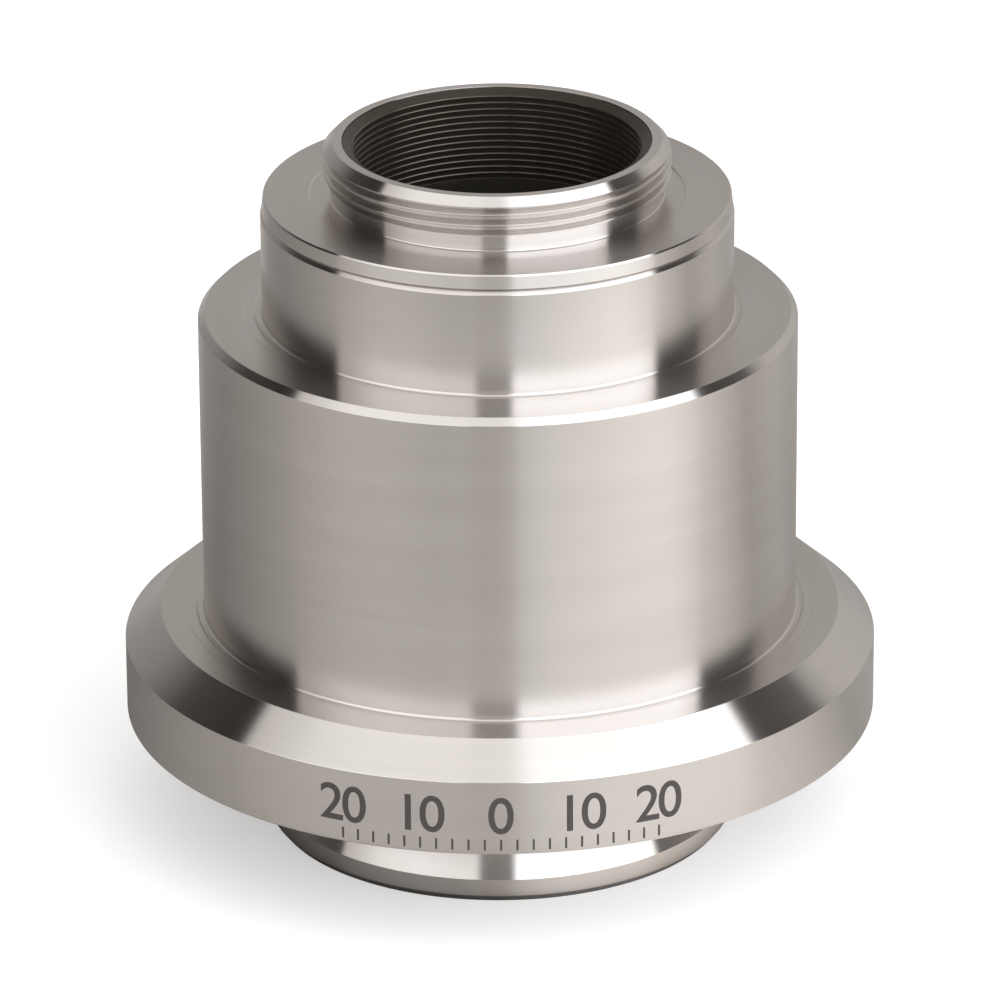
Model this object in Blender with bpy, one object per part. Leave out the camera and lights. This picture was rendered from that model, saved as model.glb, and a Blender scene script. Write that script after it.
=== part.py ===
"""Microscope camera adapter.

A turned steel body with a dovetail foot carries a relay lens group in a black barrel.
A focus sleeve slides in the body's collar, and a threaded camera ring turns on the sleeve.

Sizes are in millimetres and become metres where a mesh is made. Z is the optical axis,
z = 0 is the underside of the dovetail foot, and -Y is the front.
"""

import math
from dataclasses import dataclass

import bmesh
import bpy

MM = 0.001

# Clearances
SEAT_GAP = 0.3
CEMENT_GAP = 0.1
SCREW_GAP = 0.15

# Camera ring: thread, nose, disc and stem
CAMERA_THREAD_RADIUS = 12.7
CAMERA_BORE_RADIUS = 11.36
NOSE_HEIGHT = 4.15
NOSE_CHAMFER_WIDTH = 0.7
NOSE_CHAMFER_DROP = 0.8
NECK_UNDERCUT = 0.62
NECK_HEIGHT = 1.1
NECK_FILLET = 0.35
SEAT_RELIEF_WIDTH = 1.25
SEAT_RELIEF_DEPTH = 0.12
DISC_RADIUS = 17.2
DISC_THICKNESS = 0.8
DISC_CHAMFER = 0.2
STEM_WALL = 1.04
STEM_END = 0.4

# Ribbed black tube in the camera ring
RING_TUBE_WALL = 0.56
RIB_DEPTH = 0.32
RIB_PITCH = 0.5
RIB_COUNT = 13
TUBE_TOP_RECESS = 0.1
TUBE_LEAD_DROP = 0.45
TUBE_LEAD_LAND = 0.25

# Focus sleeve, friction washer and nut
SLEEVE_WALL = 1.5
SLEEVE_LENGTH = 8.6
WASHER_THICKNESS = 0.4
WASHER_RIM_GAP = 0.35
NUT_HEIGHT = 1.8
NUT_RUNNING_GAP = 0.5

# Steel body: collar, main cylinder, flange and dovetail foot
COLLAR_WALL = 2.8
COLLAR_HEIGHT = 7.85
COLLAR_CHAMFER = 0.33
BODY_STEP = 4.7
BODY_HEIGHT = 23.25
BODY_CHAMFER = 0.5
ROOT_FILLET = 0.4
FLANGE_LAND = 3.2
FLANGE_BEVEL_WIDTH = 2.7
FLANGE_BEVEL_DROP = 2.3
FLANGE_RIM_HEIGHT = 5.65
FLANGE_EDGE_BREAK = 0.2
DOVETAIL_HEIGHT = 8.85
DOVETAIL_RADIUS = 17.4
DOVETAIL_DEPTH = 2.1
DOVETAIL_NECK_HEIGHT = 2.1
DOVETAIL_BAND = 1.3
DOVETAIL_CHAMFER_WIDTH = 0.45
DOVETAIL_CHAMFER_HEIGHT = 0.55
NECK_WALL = 2.4
MOUTH_CHAMFER = 0.5

# Relay lenses: curve radii of the cemented faces and of the outer faces
REAR_CEMENT_CURVE = 30.0
FRONT_CEMENT_CURVE = 28.0
REAR_BULGING_CURVE = 38.0
REAR_FLAT_CURVE = 80.0
MENISCUS_HOLLOW_CURVE = 45.0
MENISCUS_BULGING_CURVE = 30.0
FRONT_HOLLOW_CURVE = 88.0
FRONT_BULGING_CURVE = 45.0

# Relay lenses: thickness on the axis
REAR_CROWN_CENTRE = 6.2
REAR_FLINT_CENTRE = 1.6
MENISCUS_CENTRE = 2.8
FRONT_FLINT_CENTRE = 1.5
FRONT_CROWN_CENTRE = 5.8

# Relay lens barrel and its rings
BARREL_WALL = 1.6
BARREL_LIP_HEIGHT = 1.2
LENS_OVERLAP = 1.1
REAR_SPACER_HEIGHT = 1.2
MIDDLE_SPACER_HEIGHT = 1.5
STOP_THICKNESS = 0.6
STOP_RADIUS = 9.0
RETAINER_HEIGHT = 1.5
LOCK_RING_HEIGHT = 1.8
LOCK_RING_RADIAL = 2.0
LOCK_RING_CLEARANCE = 0.8
SPANNER_SLOT_WIDTH = 1.4
SPANNER_SLOT_DEPTH = 0.7
SLOTTED_RING_BEVEL = 0.5

# Ribbed black tube in the foot
ENTRY_TUBE_WALL = 1.0
ENTRY_TUBE_RECESS = 1.0
ENTRY_RIB_PITCH = 1.0
ENTRY_RIB_DEPTH = 0.45
ENTRY_RIB_COUNT = 6

# Set screws behind the collar
SCREW_RADIUS = 1.5
SCREW_POINT = 0.35
SOCKET_ACROSS_FLATS = 1.5
SOCKET_DEPTH = 1.1
SCREW_RECESS = 0.3
SCREW_HEIGHT_ON_COLLAR = 4.0
SCREW_AZIMUTHS = (45.0, 135.0)

# Faces round a turn
FINE_TURN = 64
TUBE_TURN = 48
INNER_TURN = 32
SCREW_TURN = 20
FILLET_STEPS = 3
LENS_FACE_STEPS = 3
SOCKET_SIDES = 6


@dataclass(frozen=True)
class Lens:
    """One glass element: centre thickness, and the radius of each face (negative is hollow)."""

    centre: float
    lower: float
    upper: float


REAR_CROWN = Lens(REAR_CROWN_CENTRE, REAR_BULGING_CURVE, REAR_CEMENT_CURVE)
REAR_FLINT = Lens(REAR_FLINT_CENTRE, -REAR_CEMENT_CURVE, REAR_FLAT_CURVE)
MIDDLE_MENISCUS = Lens(MENISCUS_CENTRE, -MENISCUS_HOLLOW_CURVE, MENISCUS_BULGING_CURVE)
FRONT_FLINT = Lens(FRONT_FLINT_CENTRE, -FRONT_HOLLOW_CURVE, -FRONT_CEMENT_CURVE)
FRONT_CROWN = Lens(FRONT_CROWN_CENTRE, FRONT_CEMENT_CURVE, FRONT_BULGING_CURVE)

# Radii that follow from the fits, from the camera ring outwards
stem_radius = CAMERA_BORE_RADIUS + STEM_WALL
sleeve_bore_radius = stem_radius + SEAT_GAP
sleeve_radius = sleeve_bore_radius + SLEEVE_WALL
main_bore_radius = sleeve_radius + SEAT_GAP
collar_radius = main_bore_radius + COLLAR_WALL
body_radius = collar_radius + BODY_STEP
flange_top_radius = body_radius + FLANGE_LAND
flange_radius = flange_top_radius + FLANGE_BEVEL_WIDTH
dovetail_neck_radius = DOVETAIL_RADIUS - DOVETAIL_DEPTH
entry_bore_radius = dovetail_neck_radius - NECK_WALL
barrel_radius = main_bore_radius - SEAT_GAP
barrel_bore_radius = barrel_radius - BARREL_WALL
lens_radius = barrel_bore_radius - SEAT_GAP
seat_radius = lens_radius - LENS_OVERLAP

# Heights that follow from the foot upwards
flange_rim_top = DOVETAIL_HEIGHT + FLANGE_RIM_HEIGHT
flange_top = flange_rim_top + FLANGE_BEVEL_DROP
body_top = flange_top + BODY_HEIGHT
collar_top = body_top + COLLAR_HEIGHT
disc_bottom = collar_top + SEAT_GAP
disc_top = disc_bottom + DISC_THICKNESS
nose_top = disc_top + NOSE_HEIGHT

# Heights that follow from the camera ring downwards
sleeve_bottom = collar_top - SLEEVE_LENGTH
washer_bottom = sleeve_bottom - SEAT_GAP - WASHER_THICKNESS
nut_bottom = washer_bottom - SEAT_GAP - NUT_HEIGHT
stem_bottom = nut_bottom - STEM_END
lock_ring_top = stem_bottom - LOCK_RING_CLEARANCE
barrel_top = lock_ring_top - LOCK_RING_HEIGHT - SEAT_GAP


def sag(curve, radius):
    """Height of a spherical cap of the given curve at a distance from the axis."""
    size = abs(curve)
    return size - math.sqrt(size * size - radius * radius)


def face_height(curve, radius):
    """How far a lens face stands out past its own rim at a distance from the axis."""
    return math.copysign(sag(curve, lens_radius) - sag(curve, radius), curve)


def rim_height(lens):
    """Height of a lens's cylindrical rim."""
    return lens.centre - face_height(lens.lower, 0.0) - face_height(lens.upper, 0.0)


def seat_rise(curve):
    """Extra height that a bulging face needs over the edge of the ring it sits against."""
    return max(0.0, face_height(curve, seat_radius))


def stack_heights():
    """Heights above the barrel's lower end of everything stacked in it, by name."""
    places = {}
    level = BARREL_LIP_HEIGHT + SEAT_GAP + seat_rise(REAR_CROWN.lower)
    places["rear_crown"] = level
    level += rim_height(REAR_CROWN) + CEMENT_GAP
    places["rear_flint"] = level
    level += rim_height(REAR_FLINT) + SEAT_GAP + seat_rise(REAR_FLINT.upper)
    places["rear_spacer"] = level
    level += REAR_SPACER_HEIGHT + SEAT_GAP + seat_rise(MIDDLE_MENISCUS.lower)
    places["middle_meniscus"] = level
    level += rim_height(MIDDLE_MENISCUS) + SEAT_GAP + seat_rise(MIDDLE_MENISCUS.upper)
    places["middle_spacer"] = level
    level += MIDDLE_SPACER_HEIGHT + SEAT_GAP
    places["stop"] = level
    level += STOP_THICKNESS + SEAT_GAP + seat_rise(FRONT_FLINT.lower)
    places["front_flint"] = level
    level += rim_height(FRONT_FLINT) + CEMENT_GAP
    places["front_crown"] = level
    level += rim_height(FRONT_CROWN) + SEAT_GAP + seat_rise(FRONT_CROWN.upper)
    places["retainer"] = level
    places["top"] = level + RETAINER_HEIGHT
    return places


stack = stack_heights()
barrel_bottom = barrel_top - stack["top"]
shoulder_height = barrel_bottom - SEAT_GAP


def clear_scene():
    """Remove every object from the file."""
    for thing in list(bpy.data.objects):
        bpy.data.objects.remove(thing, do_unlink=True)


def finish(name, colour, roughness, metallic, glass=False):
    """A Principled material of one colour."""
    material = bpy.data.materials.new(name)
    material.use_nodes = True
    shader = material.node_tree.nodes["Principled BSDF"]
    shader.inputs["Base Color"].default_value = (*colour, 1.0)
    shader.inputs["Roughness"].default_value = roughness
    shader.inputs["Metallic"].default_value = metallic
    if glass:
        shader.inputs["Transmission Weight"].default_value = 1.0
    return material


def height_under(parent, height):
    """A height above the foot, in metres, as a location under a parent on the axis."""
    location = height * MM
    while parent is not None:
        location -= parent.location.z
        parent = parent.parent
    return location


def frame(name, height, parent=None):
    """An empty on the optical axis that carries a group of pieces."""
    empty = bpy.data.objects.new(name, None)
    bpy.context.collection.objects.link(empty)
    empty.parent = parent
    empty.location.z = height_under(parent, height)
    return empty


def turned_mesh(name, profile, faces_round):
    """Turn a closed outline of (radius, height) points about Z into a mesh."""
    shape = bmesh.new()
    corners = [shape.verts.new((radius * MM, 0.0, height * MM)) for radius, height in profile]
    edges = [shape.edges.new(pair) for pair in zip(corners, corners[1:] + corners[:1])]
    on_axis = [edge for edge in edges if all(abs(vert.co.x) < 1e-9 for vert in edge.verts)]
    outline = [edge for edge in edges if edge not in on_axis]
    for edge in on_axis:
        shape.edges.remove(edge)
    bmesh.ops.spin(
        shape,
        geom=corners + outline,
        axis=(0.0, 0.0, 1.0),
        cent=(0.0, 0.0, 0.0),
        angle=math.tau,
        steps=faces_round,
        use_merge=True,
    )
    bmesh.ops.remove_doubles(shape, verts=shape.verts, dist=1e-7)
    bmesh.ops.recalc_face_normals(shape, faces=shape.faces)
    mesh = bpy.data.meshes.new(name)
    shape.to_mesh(mesh)
    shape.free()
    mesh.shade_smooth()
    mesh.set_sharp_from_angle(angle=math.radians(25.0))
    return mesh


def piece(name, mesh, material, parent, height):
    """Place a mesh on the optical axis at a height above the foot."""
    thing = bpy.data.objects.new(name, mesh)
    bpy.context.collection.objects.link(thing)
    mesh.materials.append(material)
    thing.parent = parent
    thing.location.z = height_under(parent, height)
    return thing


def cutter(name, mesh, parent):
    """A hidden shape that another piece is cut by."""
    tool = bpy.data.objects.new(name, mesh)
    bpy.context.collection.objects.link(tool)
    tool.parent = parent
    tool.hide_render = True
    tool.display_type = "WIRE"
    return tool


def cut(target, tool):
    """Subtract a cutter from a piece."""
    difference = target.modifiers.new(f"cut by {tool.name}", "BOOLEAN")
    difference.operation = "DIFFERENCE"
    difference.solver = "EXACT"
    difference.object = tool


def box_mesh(name, length, width, height):
    """A block centred on the axis, with its middle at z = 0."""
    shape = bmesh.new()
    bmesh.ops.create_cube(shape, size=1.0)
    bmesh.ops.scale(shape, verts=shape.verts, vec=(length * MM, width * MM, height * MM))
    mesh = bpy.data.meshes.new(name)
    shape.to_mesh(mesh)
    shape.free()
    return mesh


def inside_fillet(wall_radius, floor_height, size):
    """Rounded corner, from the floor to the wall that stands on its inner side."""
    points = []
    for step in range(FILLET_STEPS + 1):
        angle = math.radians(270.0 - 90.0 * step / FILLET_STEPS)
        radius = wall_radius + size * (1.0 + math.cos(angle))
        points.append((radius, floor_height + size * (1.0 + math.sin(angle))))
    return points


def ribbed_wall(top, crest_radius, depth, pitch, count):
    """Inner wall of sharp ribs, read downwards from a height."""
    points = []
    for rib in range(count):
        crest = top - rib * pitch
        points.append((crest_radius, crest))
        points.append((crest_radius + depth, crest - pitch / 2.0))
    points.append((crest_radius, top - count * pitch))
    return points


def ring_profile(inner_radius, outer_radius, height):
    """Square section of a plain ring."""
    return [
        (inner_radius, 0.0),
        (outer_radius, 0.0),
        (outer_radius, height),
        (inner_radius, height),
    ]


def bevelled_ring_profile(inner_radius, outer_radius, height, bevel):
    """Section of a ring whose bore opens upwards in a bevel."""
    return [
        (inner_radius, 0.0),
        (outer_radius, 0.0),
        (outer_radius, height),
        (inner_radius + bevel, height),
        (inner_radius, height - bevel),
    ]


def lens_profile(lens):
    """Section of a lens with its rim's lower edge at z = 0."""
    rim = rim_height(lens)
    stations = [lens_radius * step / LENS_FACE_STEPS for step in range(LENS_FACE_STEPS + 1)]
    lower = [(radius, -face_height(lens.lower, radius)) for radius in stations]
    upper = [(radius, rim + face_height(lens.upper, radius)) for radius in reversed(stations)]
    return lower + upper


def body_profile():
    """Section of the one-piece steel body."""
    outside = [
        (DOVETAIL_RADIUS - DOVETAIL_CHAMFER_WIDTH, 0.0),
        (DOVETAIL_RADIUS, DOVETAIL_CHAMFER_HEIGHT),
        (DOVETAIL_RADIUS, DOVETAIL_CHAMFER_HEIGHT + DOVETAIL_BAND),
        (dovetail_neck_radius, DOVETAIL_HEIGHT - DOVETAIL_NECK_HEIGHT),
        (dovetail_neck_radius, DOVETAIL_HEIGHT),
        (flange_radius - FLANGE_EDGE_BREAK, DOVETAIL_HEIGHT),
        (flange_radius, DOVETAIL_HEIGHT + FLANGE_EDGE_BREAK),
        (flange_radius, flange_rim_top),
        (flange_top_radius, flange_top),
        *inside_fillet(body_radius, flange_top, ROOT_FILLET),
        (body_radius, body_top - BODY_CHAMFER),
        (body_radius - BODY_CHAMFER, body_top),
        *inside_fillet(collar_radius, body_top, ROOT_FILLET),
        (collar_radius, collar_top - COLLAR_CHAMFER),
        (collar_radius - COLLAR_CHAMFER, collar_top),
    ]
    bore = [
        (main_bore_radius, collar_top),
        (main_bore_radius, shoulder_height),
        (entry_bore_radius, shoulder_height),
        (entry_bore_radius, MOUTH_CHAMFER),
        (entry_bore_radius + MOUTH_CHAMFER, 0.0),
    ]
    return outside + bore


def make_body(parent):
    """The turned body, with a threaded hole through the collar for each set screw."""
    steel = finish("turned steel", (0.56, 0.53, 0.51), 0.28, 1.0)
    body = piece("mount_body", turned_mesh("mount_body", body_profile(), FINE_TURN), steel, parent, 0.0)
    hole_radius = SCREW_RADIUS + SCREW_GAP
    hole_length = COLLAR_WALL + 2.0 * SCREW_RADIUS
    outline = [(0.0, 0.0), (hole_radius, 0.0), (hole_radius, hole_length), (0.0, hole_length)]
    for number, azimuth in enumerate(SCREW_AZIMUTHS, start=1):
        drill = cutter(f"screw_hole_{number}", turned_mesh("drill", outline, SCREW_TURN), parent)
        lay_radially(drill, main_bore_radius - SCREW_RADIUS, azimuth)
        cut(body, drill)


def lay_radially(thing, start_radius, azimuth):
    """Turn an upright piece to point outwards from the axis at the set screws' height."""
    angle = math.radians(azimuth)
    height = body_top + SCREW_HEIGHT_ON_COLLAR
    thing.rotation_euler = (0.0, math.pi / 2.0, angle)
    thing.location = (
        start_radius * math.cos(angle) * MM,
        start_radius * math.sin(angle) * MM,
        height * MM,
    )


def make_set_screws(parent):
    """Socket set screws that press on the focus sleeve from behind."""
    steel = finish("blackened screw steel", (0.05, 0.05, 0.055), 0.4, 1.0)
    length = COLLAR_WALL - SCREW_RECESS
    outline = [
        (0.0, 0.0),
        (SCREW_RADIUS - SCREW_POINT, 0.0),
        (SCREW_RADIUS, SCREW_POINT),
        (SCREW_RADIUS, length),
        (0.0, length),
    ]
    key_radius = SOCKET_ACROSS_FLATS / math.sqrt(3.0)
    key_outline = [(0.0, length - SOCKET_DEPTH), (key_radius, length - SOCKET_DEPTH)]
    key_outline += [(key_radius, length + SOCKET_DEPTH), (0.0, length + SOCKET_DEPTH)]
    for number, azimuth in enumerate(SCREW_AZIMUTHS, start=1):
        mesh = turned_mesh("set screw", outline, SCREW_TURN)
        screw = piece(f"focus_set_screw_{number}", mesh, steel, parent, 0.0)
        lay_radially(screw, main_bore_radius, azimuth)
        socket = cutter(f"screw_socket_{number}", turned_mesh("key", key_outline, SOCKET_SIDES), parent)
        lay_radially(socket, main_bore_radius, azimuth)
        cut(screw, socket)


def make_entry_tube(parent):
    """Black ribbed tube that lines the bore of the foot."""
    black = finish("black anodised foot tube", (0.02, 0.02, 0.02), 0.5, 0.0)
    outer = entry_bore_radius - SEAT_GAP
    crest = outer - ENTRY_TUBE_WALL
    length = shoulder_height - ENTRY_TUBE_RECESS
    ribs_top = (length + ENTRY_RIB_COUNT * ENTRY_RIB_PITCH) / 2.0
    wall = ribbed_wall(ribs_top, crest, ENTRY_RIB_DEPTH, ENTRY_RIB_PITCH, ENTRY_RIB_COUNT)
    outline = [(crest, 0.0), (outer, 0.0), (outer, length), (crest, length), *wall]
    mesh = turned_mesh("entry_baffle_tube", outline, INNER_TURN)
    piece("entry_baffle_tube", mesh, black, parent, ENTRY_TUBE_RECESS)


def make_barrel(parent):
    """Black barrel with an inward lip at its lower end."""
    black = finish("black anodised barrel", (0.025, 0.025, 0.027), 0.45, 0.0)
    outline = [
        (seat_radius, 0.0),
        (barrel_radius, 0.0),
        (barrel_radius, stack["top"]),
        (barrel_bore_radius, stack["top"]),
        (barrel_bore_radius, BARREL_LIP_HEIGHT),
        (seat_radius, BARREL_LIP_HEIGHT),
    ]
    piece("lens_barrel", turned_mesh("lens_barrel", outline, INNER_TURN), black, parent, barrel_bottom)


def make_lenses(parent):
    """Two cemented pairs with a meniscus between them."""
    crown = finish("crown glass", (0.9, 0.97, 0.95), 0.03, 0.0, glass=True)
    flint = finish("flint glass", (0.93, 0.94, 0.86), 0.03, 0.0, glass=True)
    elements = (
        ("rear_crown_lens", REAR_CROWN, crown, "rear_crown"),
        ("rear_flint_lens", REAR_FLINT, flint, "rear_flint"),
        ("middle_meniscus_lens", MIDDLE_MENISCUS, crown, "middle_meniscus"),
        ("front_flint_lens", FRONT_FLINT, flint, "front_flint"),
        ("front_crown_lens", FRONT_CROWN, crown, "front_crown"),
    )
    for name, lens, glass, place in elements:
        mesh = turned_mesh(name, lens_profile(lens), INNER_TURN)
        piece(name, mesh, glass, parent, barrel_bottom + stack[place])


def make_barrel_rings(parent):
    """Spacers, aperture stop, and the two slotted rings that lock lenses and barrel."""
    black = finish("black anodised rings", (0.03, 0.03, 0.032), 0.4, 0.0)
    plain = (
        ("rear_lens_spacer", seat_radius, REAR_SPACER_HEIGHT, "rear_spacer"),
        ("middle_lens_spacer", seat_radius, MIDDLE_SPACER_HEIGHT, "middle_spacer"),
        ("aperture_stop", STOP_RADIUS, STOP_THICKNESS, "stop"),
    )
    for name, bore, height, place in plain:
        mesh = turned_mesh(name, ring_profile(bore, lens_radius, height), INNER_TURN)
        piece(name, mesh, black, parent, barrel_bottom + stack[place])

    lock_bore = barrel_radius - LOCK_RING_RADIAL
    lock_bottom = lock_ring_top - LOCK_RING_HEIGHT
    slotted = (
        ("lens_retaining_ring", seat_radius, lens_radius, RETAINER_HEIGHT, barrel_bottom + stack["retainer"]),
        ("barrel_lock_ring", lock_bore, barrel_radius, LOCK_RING_HEIGHT, lock_bottom),
    )
    for name, bore, outer, height, place in slotted:
        outline = bevelled_ring_profile(bore, outer, height, SLOTTED_RING_BEVEL)
        ring = piece(name, turned_mesh(name, outline, INNER_TURN), black, parent, place)
        slot_length = 2.0 * main_bore_radius
        slot_mesh = box_mesh("slot", slot_length, SPANNER_SLOT_WIDTH, 2.0 * SPANNER_SLOT_DEPTH)
        slot = cutter(f"{name}_slots", slot_mesh, parent)
        slot.location.z = (place + height) * MM
        cut(ring, slot)


def make_focus_sleeve(parent):
    """Plain sleeve that slides in the collar."""
    steel = finish("ground steel sleeve", (0.6, 0.58, 0.55), 0.22, 1.0)
    outline = ring_profile(sleeve_bore_radius, sleeve_radius, SLEEVE_LENGTH)
    piece("focus_sleeve", turned_mesh("focus_sleeve", outline, TUBE_TURN), steel, parent, sleeve_bottom)


def camera_ring_profile():
    """Section of the camera ring: stem, disc, undercut neck and threaded nose."""
    neck = CAMERA_THREAD_RADIUS - NECK_UNDERCUT
    relief_radius = CAMERA_THREAD_RADIUS + SEAT_RELIEF_WIDTH
    relief_floor = disc_top - SEAT_RELIEF_DEPTH
    return [
        (CAMERA_BORE_RADIUS, stem_bottom),
        (stem_radius, stem_bottom),
        (stem_radius, disc_bottom),
        (DISC_RADIUS, disc_bottom),
        (DISC_RADIUS, disc_top - DISC_CHAMFER),
        (DISC_RADIUS - DISC_CHAMFER, disc_top),
        (relief_radius, disc_top),
        (relief_radius - SEAT_RELIEF_DEPTH, relief_floor),
        *inside_fillet(neck, relief_floor, NECK_FILLET),
        (neck, disc_top + NECK_HEIGHT - NECK_UNDERCUT / 2.0),
        (CAMERA_THREAD_RADIUS, disc_top + NECK_HEIGHT),
        (CAMERA_THREAD_RADIUS, nose_top - NOSE_CHAMFER_DROP),
        (CAMERA_THREAD_RADIUS - NOSE_CHAMFER_WIDTH, nose_top),
        (CAMERA_BORE_RADIUS, nose_top),
    ]


def make_camera_ring(parent):
    """The ring that the camera screws on to."""
    steel = finish("turned ring steel", (0.58, 0.55, 0.53), 0.25, 1.0)
    outline = [(radius, height - disc_bottom) for radius, height in camera_ring_profile()]
    piece("camera_ring", turned_mesh("camera_ring", outline, FINE_TURN), steel, parent, disc_bottom)


def make_ring_tube(parent):
    """Black tube with fine ribs against stray light, inside the camera ring."""
    black = finish("black anodised ring tube", (0.018, 0.018, 0.018), 0.45, 0.0)
    outer = CAMERA_BORE_RADIUS - SEAT_GAP
    crest = outer - RING_TUBE_WALL
    top = nose_top - TUBE_TOP_RECESS
    length = top - stem_bottom
    ribs_top = length - TUBE_LEAD_DROP - TUBE_LEAD_LAND
    wall = ribbed_wall(ribs_top, crest, RIB_DEPTH, RIB_PITCH, RIB_COUNT)
    outline = [
        (crest, 0.0),
        (outer, 0.0),
        (outer, length),
        (crest, length - TUBE_LEAD_DROP),
        *wall,
    ]
    piece("ring_baffle_tube", turned_mesh("ring_baffle_tube", outline, TUBE_TURN), black, parent, stem_bottom)


def make_ring_fasteners(parent):
    """Friction washer and nut that hold the camera ring on its sleeve."""
    spring = finish("spring steel washer", (0.35, 0.33, 0.3), 0.3, 1.0)
    black = finish("black anodised nut", (0.03, 0.03, 0.032), 0.45, 0.0)
    bore = stem_radius + SEAT_GAP
    washer_outline = ring_profile(bore, sleeve_radius - WASHER_RIM_GAP, WASHER_THICKNESS)
    washer_mesh = turned_mesh("friction_washer", washer_outline, INNER_TURN)
    piece("friction_washer", washer_mesh, spring, parent, washer_bottom)
    nut_outline = ring_profile(bore, main_bore_radius - NUT_RUNNING_GAP, NUT_HEIGHT)
    piece("sleeve_nut", turned_mesh("sleeve_nut", nut_outline, INNER_TURN), black, parent, nut_bottom)


def main():
    """Build the adapter from the foot up."""
    clear_scene()
    mount = frame("mount_frame", 0.0)
    make_body(mount)
    make_entry_tube(mount)
    make_barrel(mount)
    make_lenses(mount)
    make_barrel_rings(mount)
    make_set_screws(mount)

    slide = frame("focus_slide", collar_top, mount)
    make_focus_sleeve(slide)

    turn = frame("camera_turn", disc_bottom, slide)
    make_camera_ring(turn)
    make_ring_tube(turn)
    make_ring_fasteners(turn)


if __name__ == "__main__":
    main()
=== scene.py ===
"""Looks of the microscope camera adapter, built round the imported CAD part.

The outlines repeat the part's own sizes, in millimetres, with the small edge breaks, thread,
ribs and scale that the plain solids leave out. Z is the optical axis and -Y is the front.
"""

from __future__ import annotations

import logging
import math
from dataclasses import dataclass
from enum import Enum
from typing import Sequence

import bmesh
import bpy
import numpy as np
from mathutils import Matrix, Vector

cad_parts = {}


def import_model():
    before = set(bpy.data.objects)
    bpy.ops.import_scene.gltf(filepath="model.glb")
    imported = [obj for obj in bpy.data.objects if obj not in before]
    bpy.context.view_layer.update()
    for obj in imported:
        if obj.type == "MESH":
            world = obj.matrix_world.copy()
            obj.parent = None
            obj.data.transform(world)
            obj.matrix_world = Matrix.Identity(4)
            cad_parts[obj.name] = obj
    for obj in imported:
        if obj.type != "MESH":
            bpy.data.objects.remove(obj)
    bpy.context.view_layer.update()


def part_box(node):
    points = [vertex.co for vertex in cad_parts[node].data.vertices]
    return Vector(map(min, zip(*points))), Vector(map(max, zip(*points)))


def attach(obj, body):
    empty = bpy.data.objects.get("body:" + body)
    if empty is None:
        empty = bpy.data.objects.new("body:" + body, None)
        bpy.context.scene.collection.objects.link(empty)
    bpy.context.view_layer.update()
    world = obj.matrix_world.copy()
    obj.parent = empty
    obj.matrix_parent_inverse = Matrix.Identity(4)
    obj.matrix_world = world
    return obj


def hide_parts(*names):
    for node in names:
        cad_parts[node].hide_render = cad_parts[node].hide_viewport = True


LOG = logging.getLogger("adapter")
MM = 0.001
UV_NAME = "turning"
# Travel along an outline is stored in V, one unit for this many millimetres.
UV_SPAN_MM = 100.0


class Body(Enum):
    """CAD body that a piece rides on."""

    MOUNT = "mount"
    SLIDER = "focus_slider"
    HEAD = "camera_head"


class Turn(Enum):
    """Faces round a full turn."""

    FINE = 384
    PLAIN = 256
    SMALL = 96
    HEXAGON = 6


# Colour and nodes


def srgb(code: str) -> tuple[float, float, float, float]:
    """Turn an sRGB hex colour into the linear colour that sockets take.

    Args:
        code: Colour such as "#DCD4CB".

    Returns:
        Linear red, green, blue and alpha.
    """
    channels = [int(code[i : i + 2], 16) / 255.0 for i in (1, 3, 5)]
    linear = [c / 12.92 if c <= 0.04045 else ((c + 0.055) / 1.055) ** 2.4 for c in channels]
    return (linear[0], linear[1], linear[2], 1.0)


class Nodes:
    """Adds nodes to a tree and sets or links their sockets."""

    def __init__(self, tree: bpy.types.NodeTree) -> None:
        """Clear a tree and take it over.

        Args:
            tree: Shader or geometry tree.
        """
        self.tree = tree
        tree.nodes.clear()

    def add(
        self,
        kind: str,
        inputs: dict | None = None,
        stops: Sequence[tuple[float, tuple]] = (),
        **settings: object,
    ) -> bpy.types.Node:
        """Add one node.

        Args:
            kind: Blender's node type name.
            inputs: Socket name or index mapped to a value, to an output socket, or to a node,
                which stands for its first output.
            stops: Places from 0 to 1 with a linear colour each, for a colour ramp.
            **settings: Attributes set on the node first.

        Returns:
            The new node.
        """
        node = self.tree.nodes.new(kind)
        for name, value in settings.items():
            setattr(node, name, value)
        for key, value in (inputs or {}).items():
            source = value.outputs[0] if isinstance(value, bpy.types.Node) else value
            if isinstance(source, bpy.types.NodeSocket):
                self.tree.links.new(source, node.inputs[key])
            else:
                node.inputs[key].default_value = source
        if stops:
            elements = node.color_ramp.elements
            while len(elements) < len(stops):
                elements.new(1.0)
            for element, (position, colour) in zip(elements, sorted(stops, key=lambda s: s[0])):
                element.position = position
                element.color = colour
        return node


# Turned shapes


@dataclass(frozen=True)
class Corner:
    """One corner of a turned outline, in millimetres."""

    radius: float
    height: float
    rounding: float = 0.0


@dataclass(frozen=True)
class Station:
    """One point of a finished outline, with the surface normal before and after it."""

    radius: float
    height: float
    before: tuple[float, float]
    after: tuple[float, float]


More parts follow.
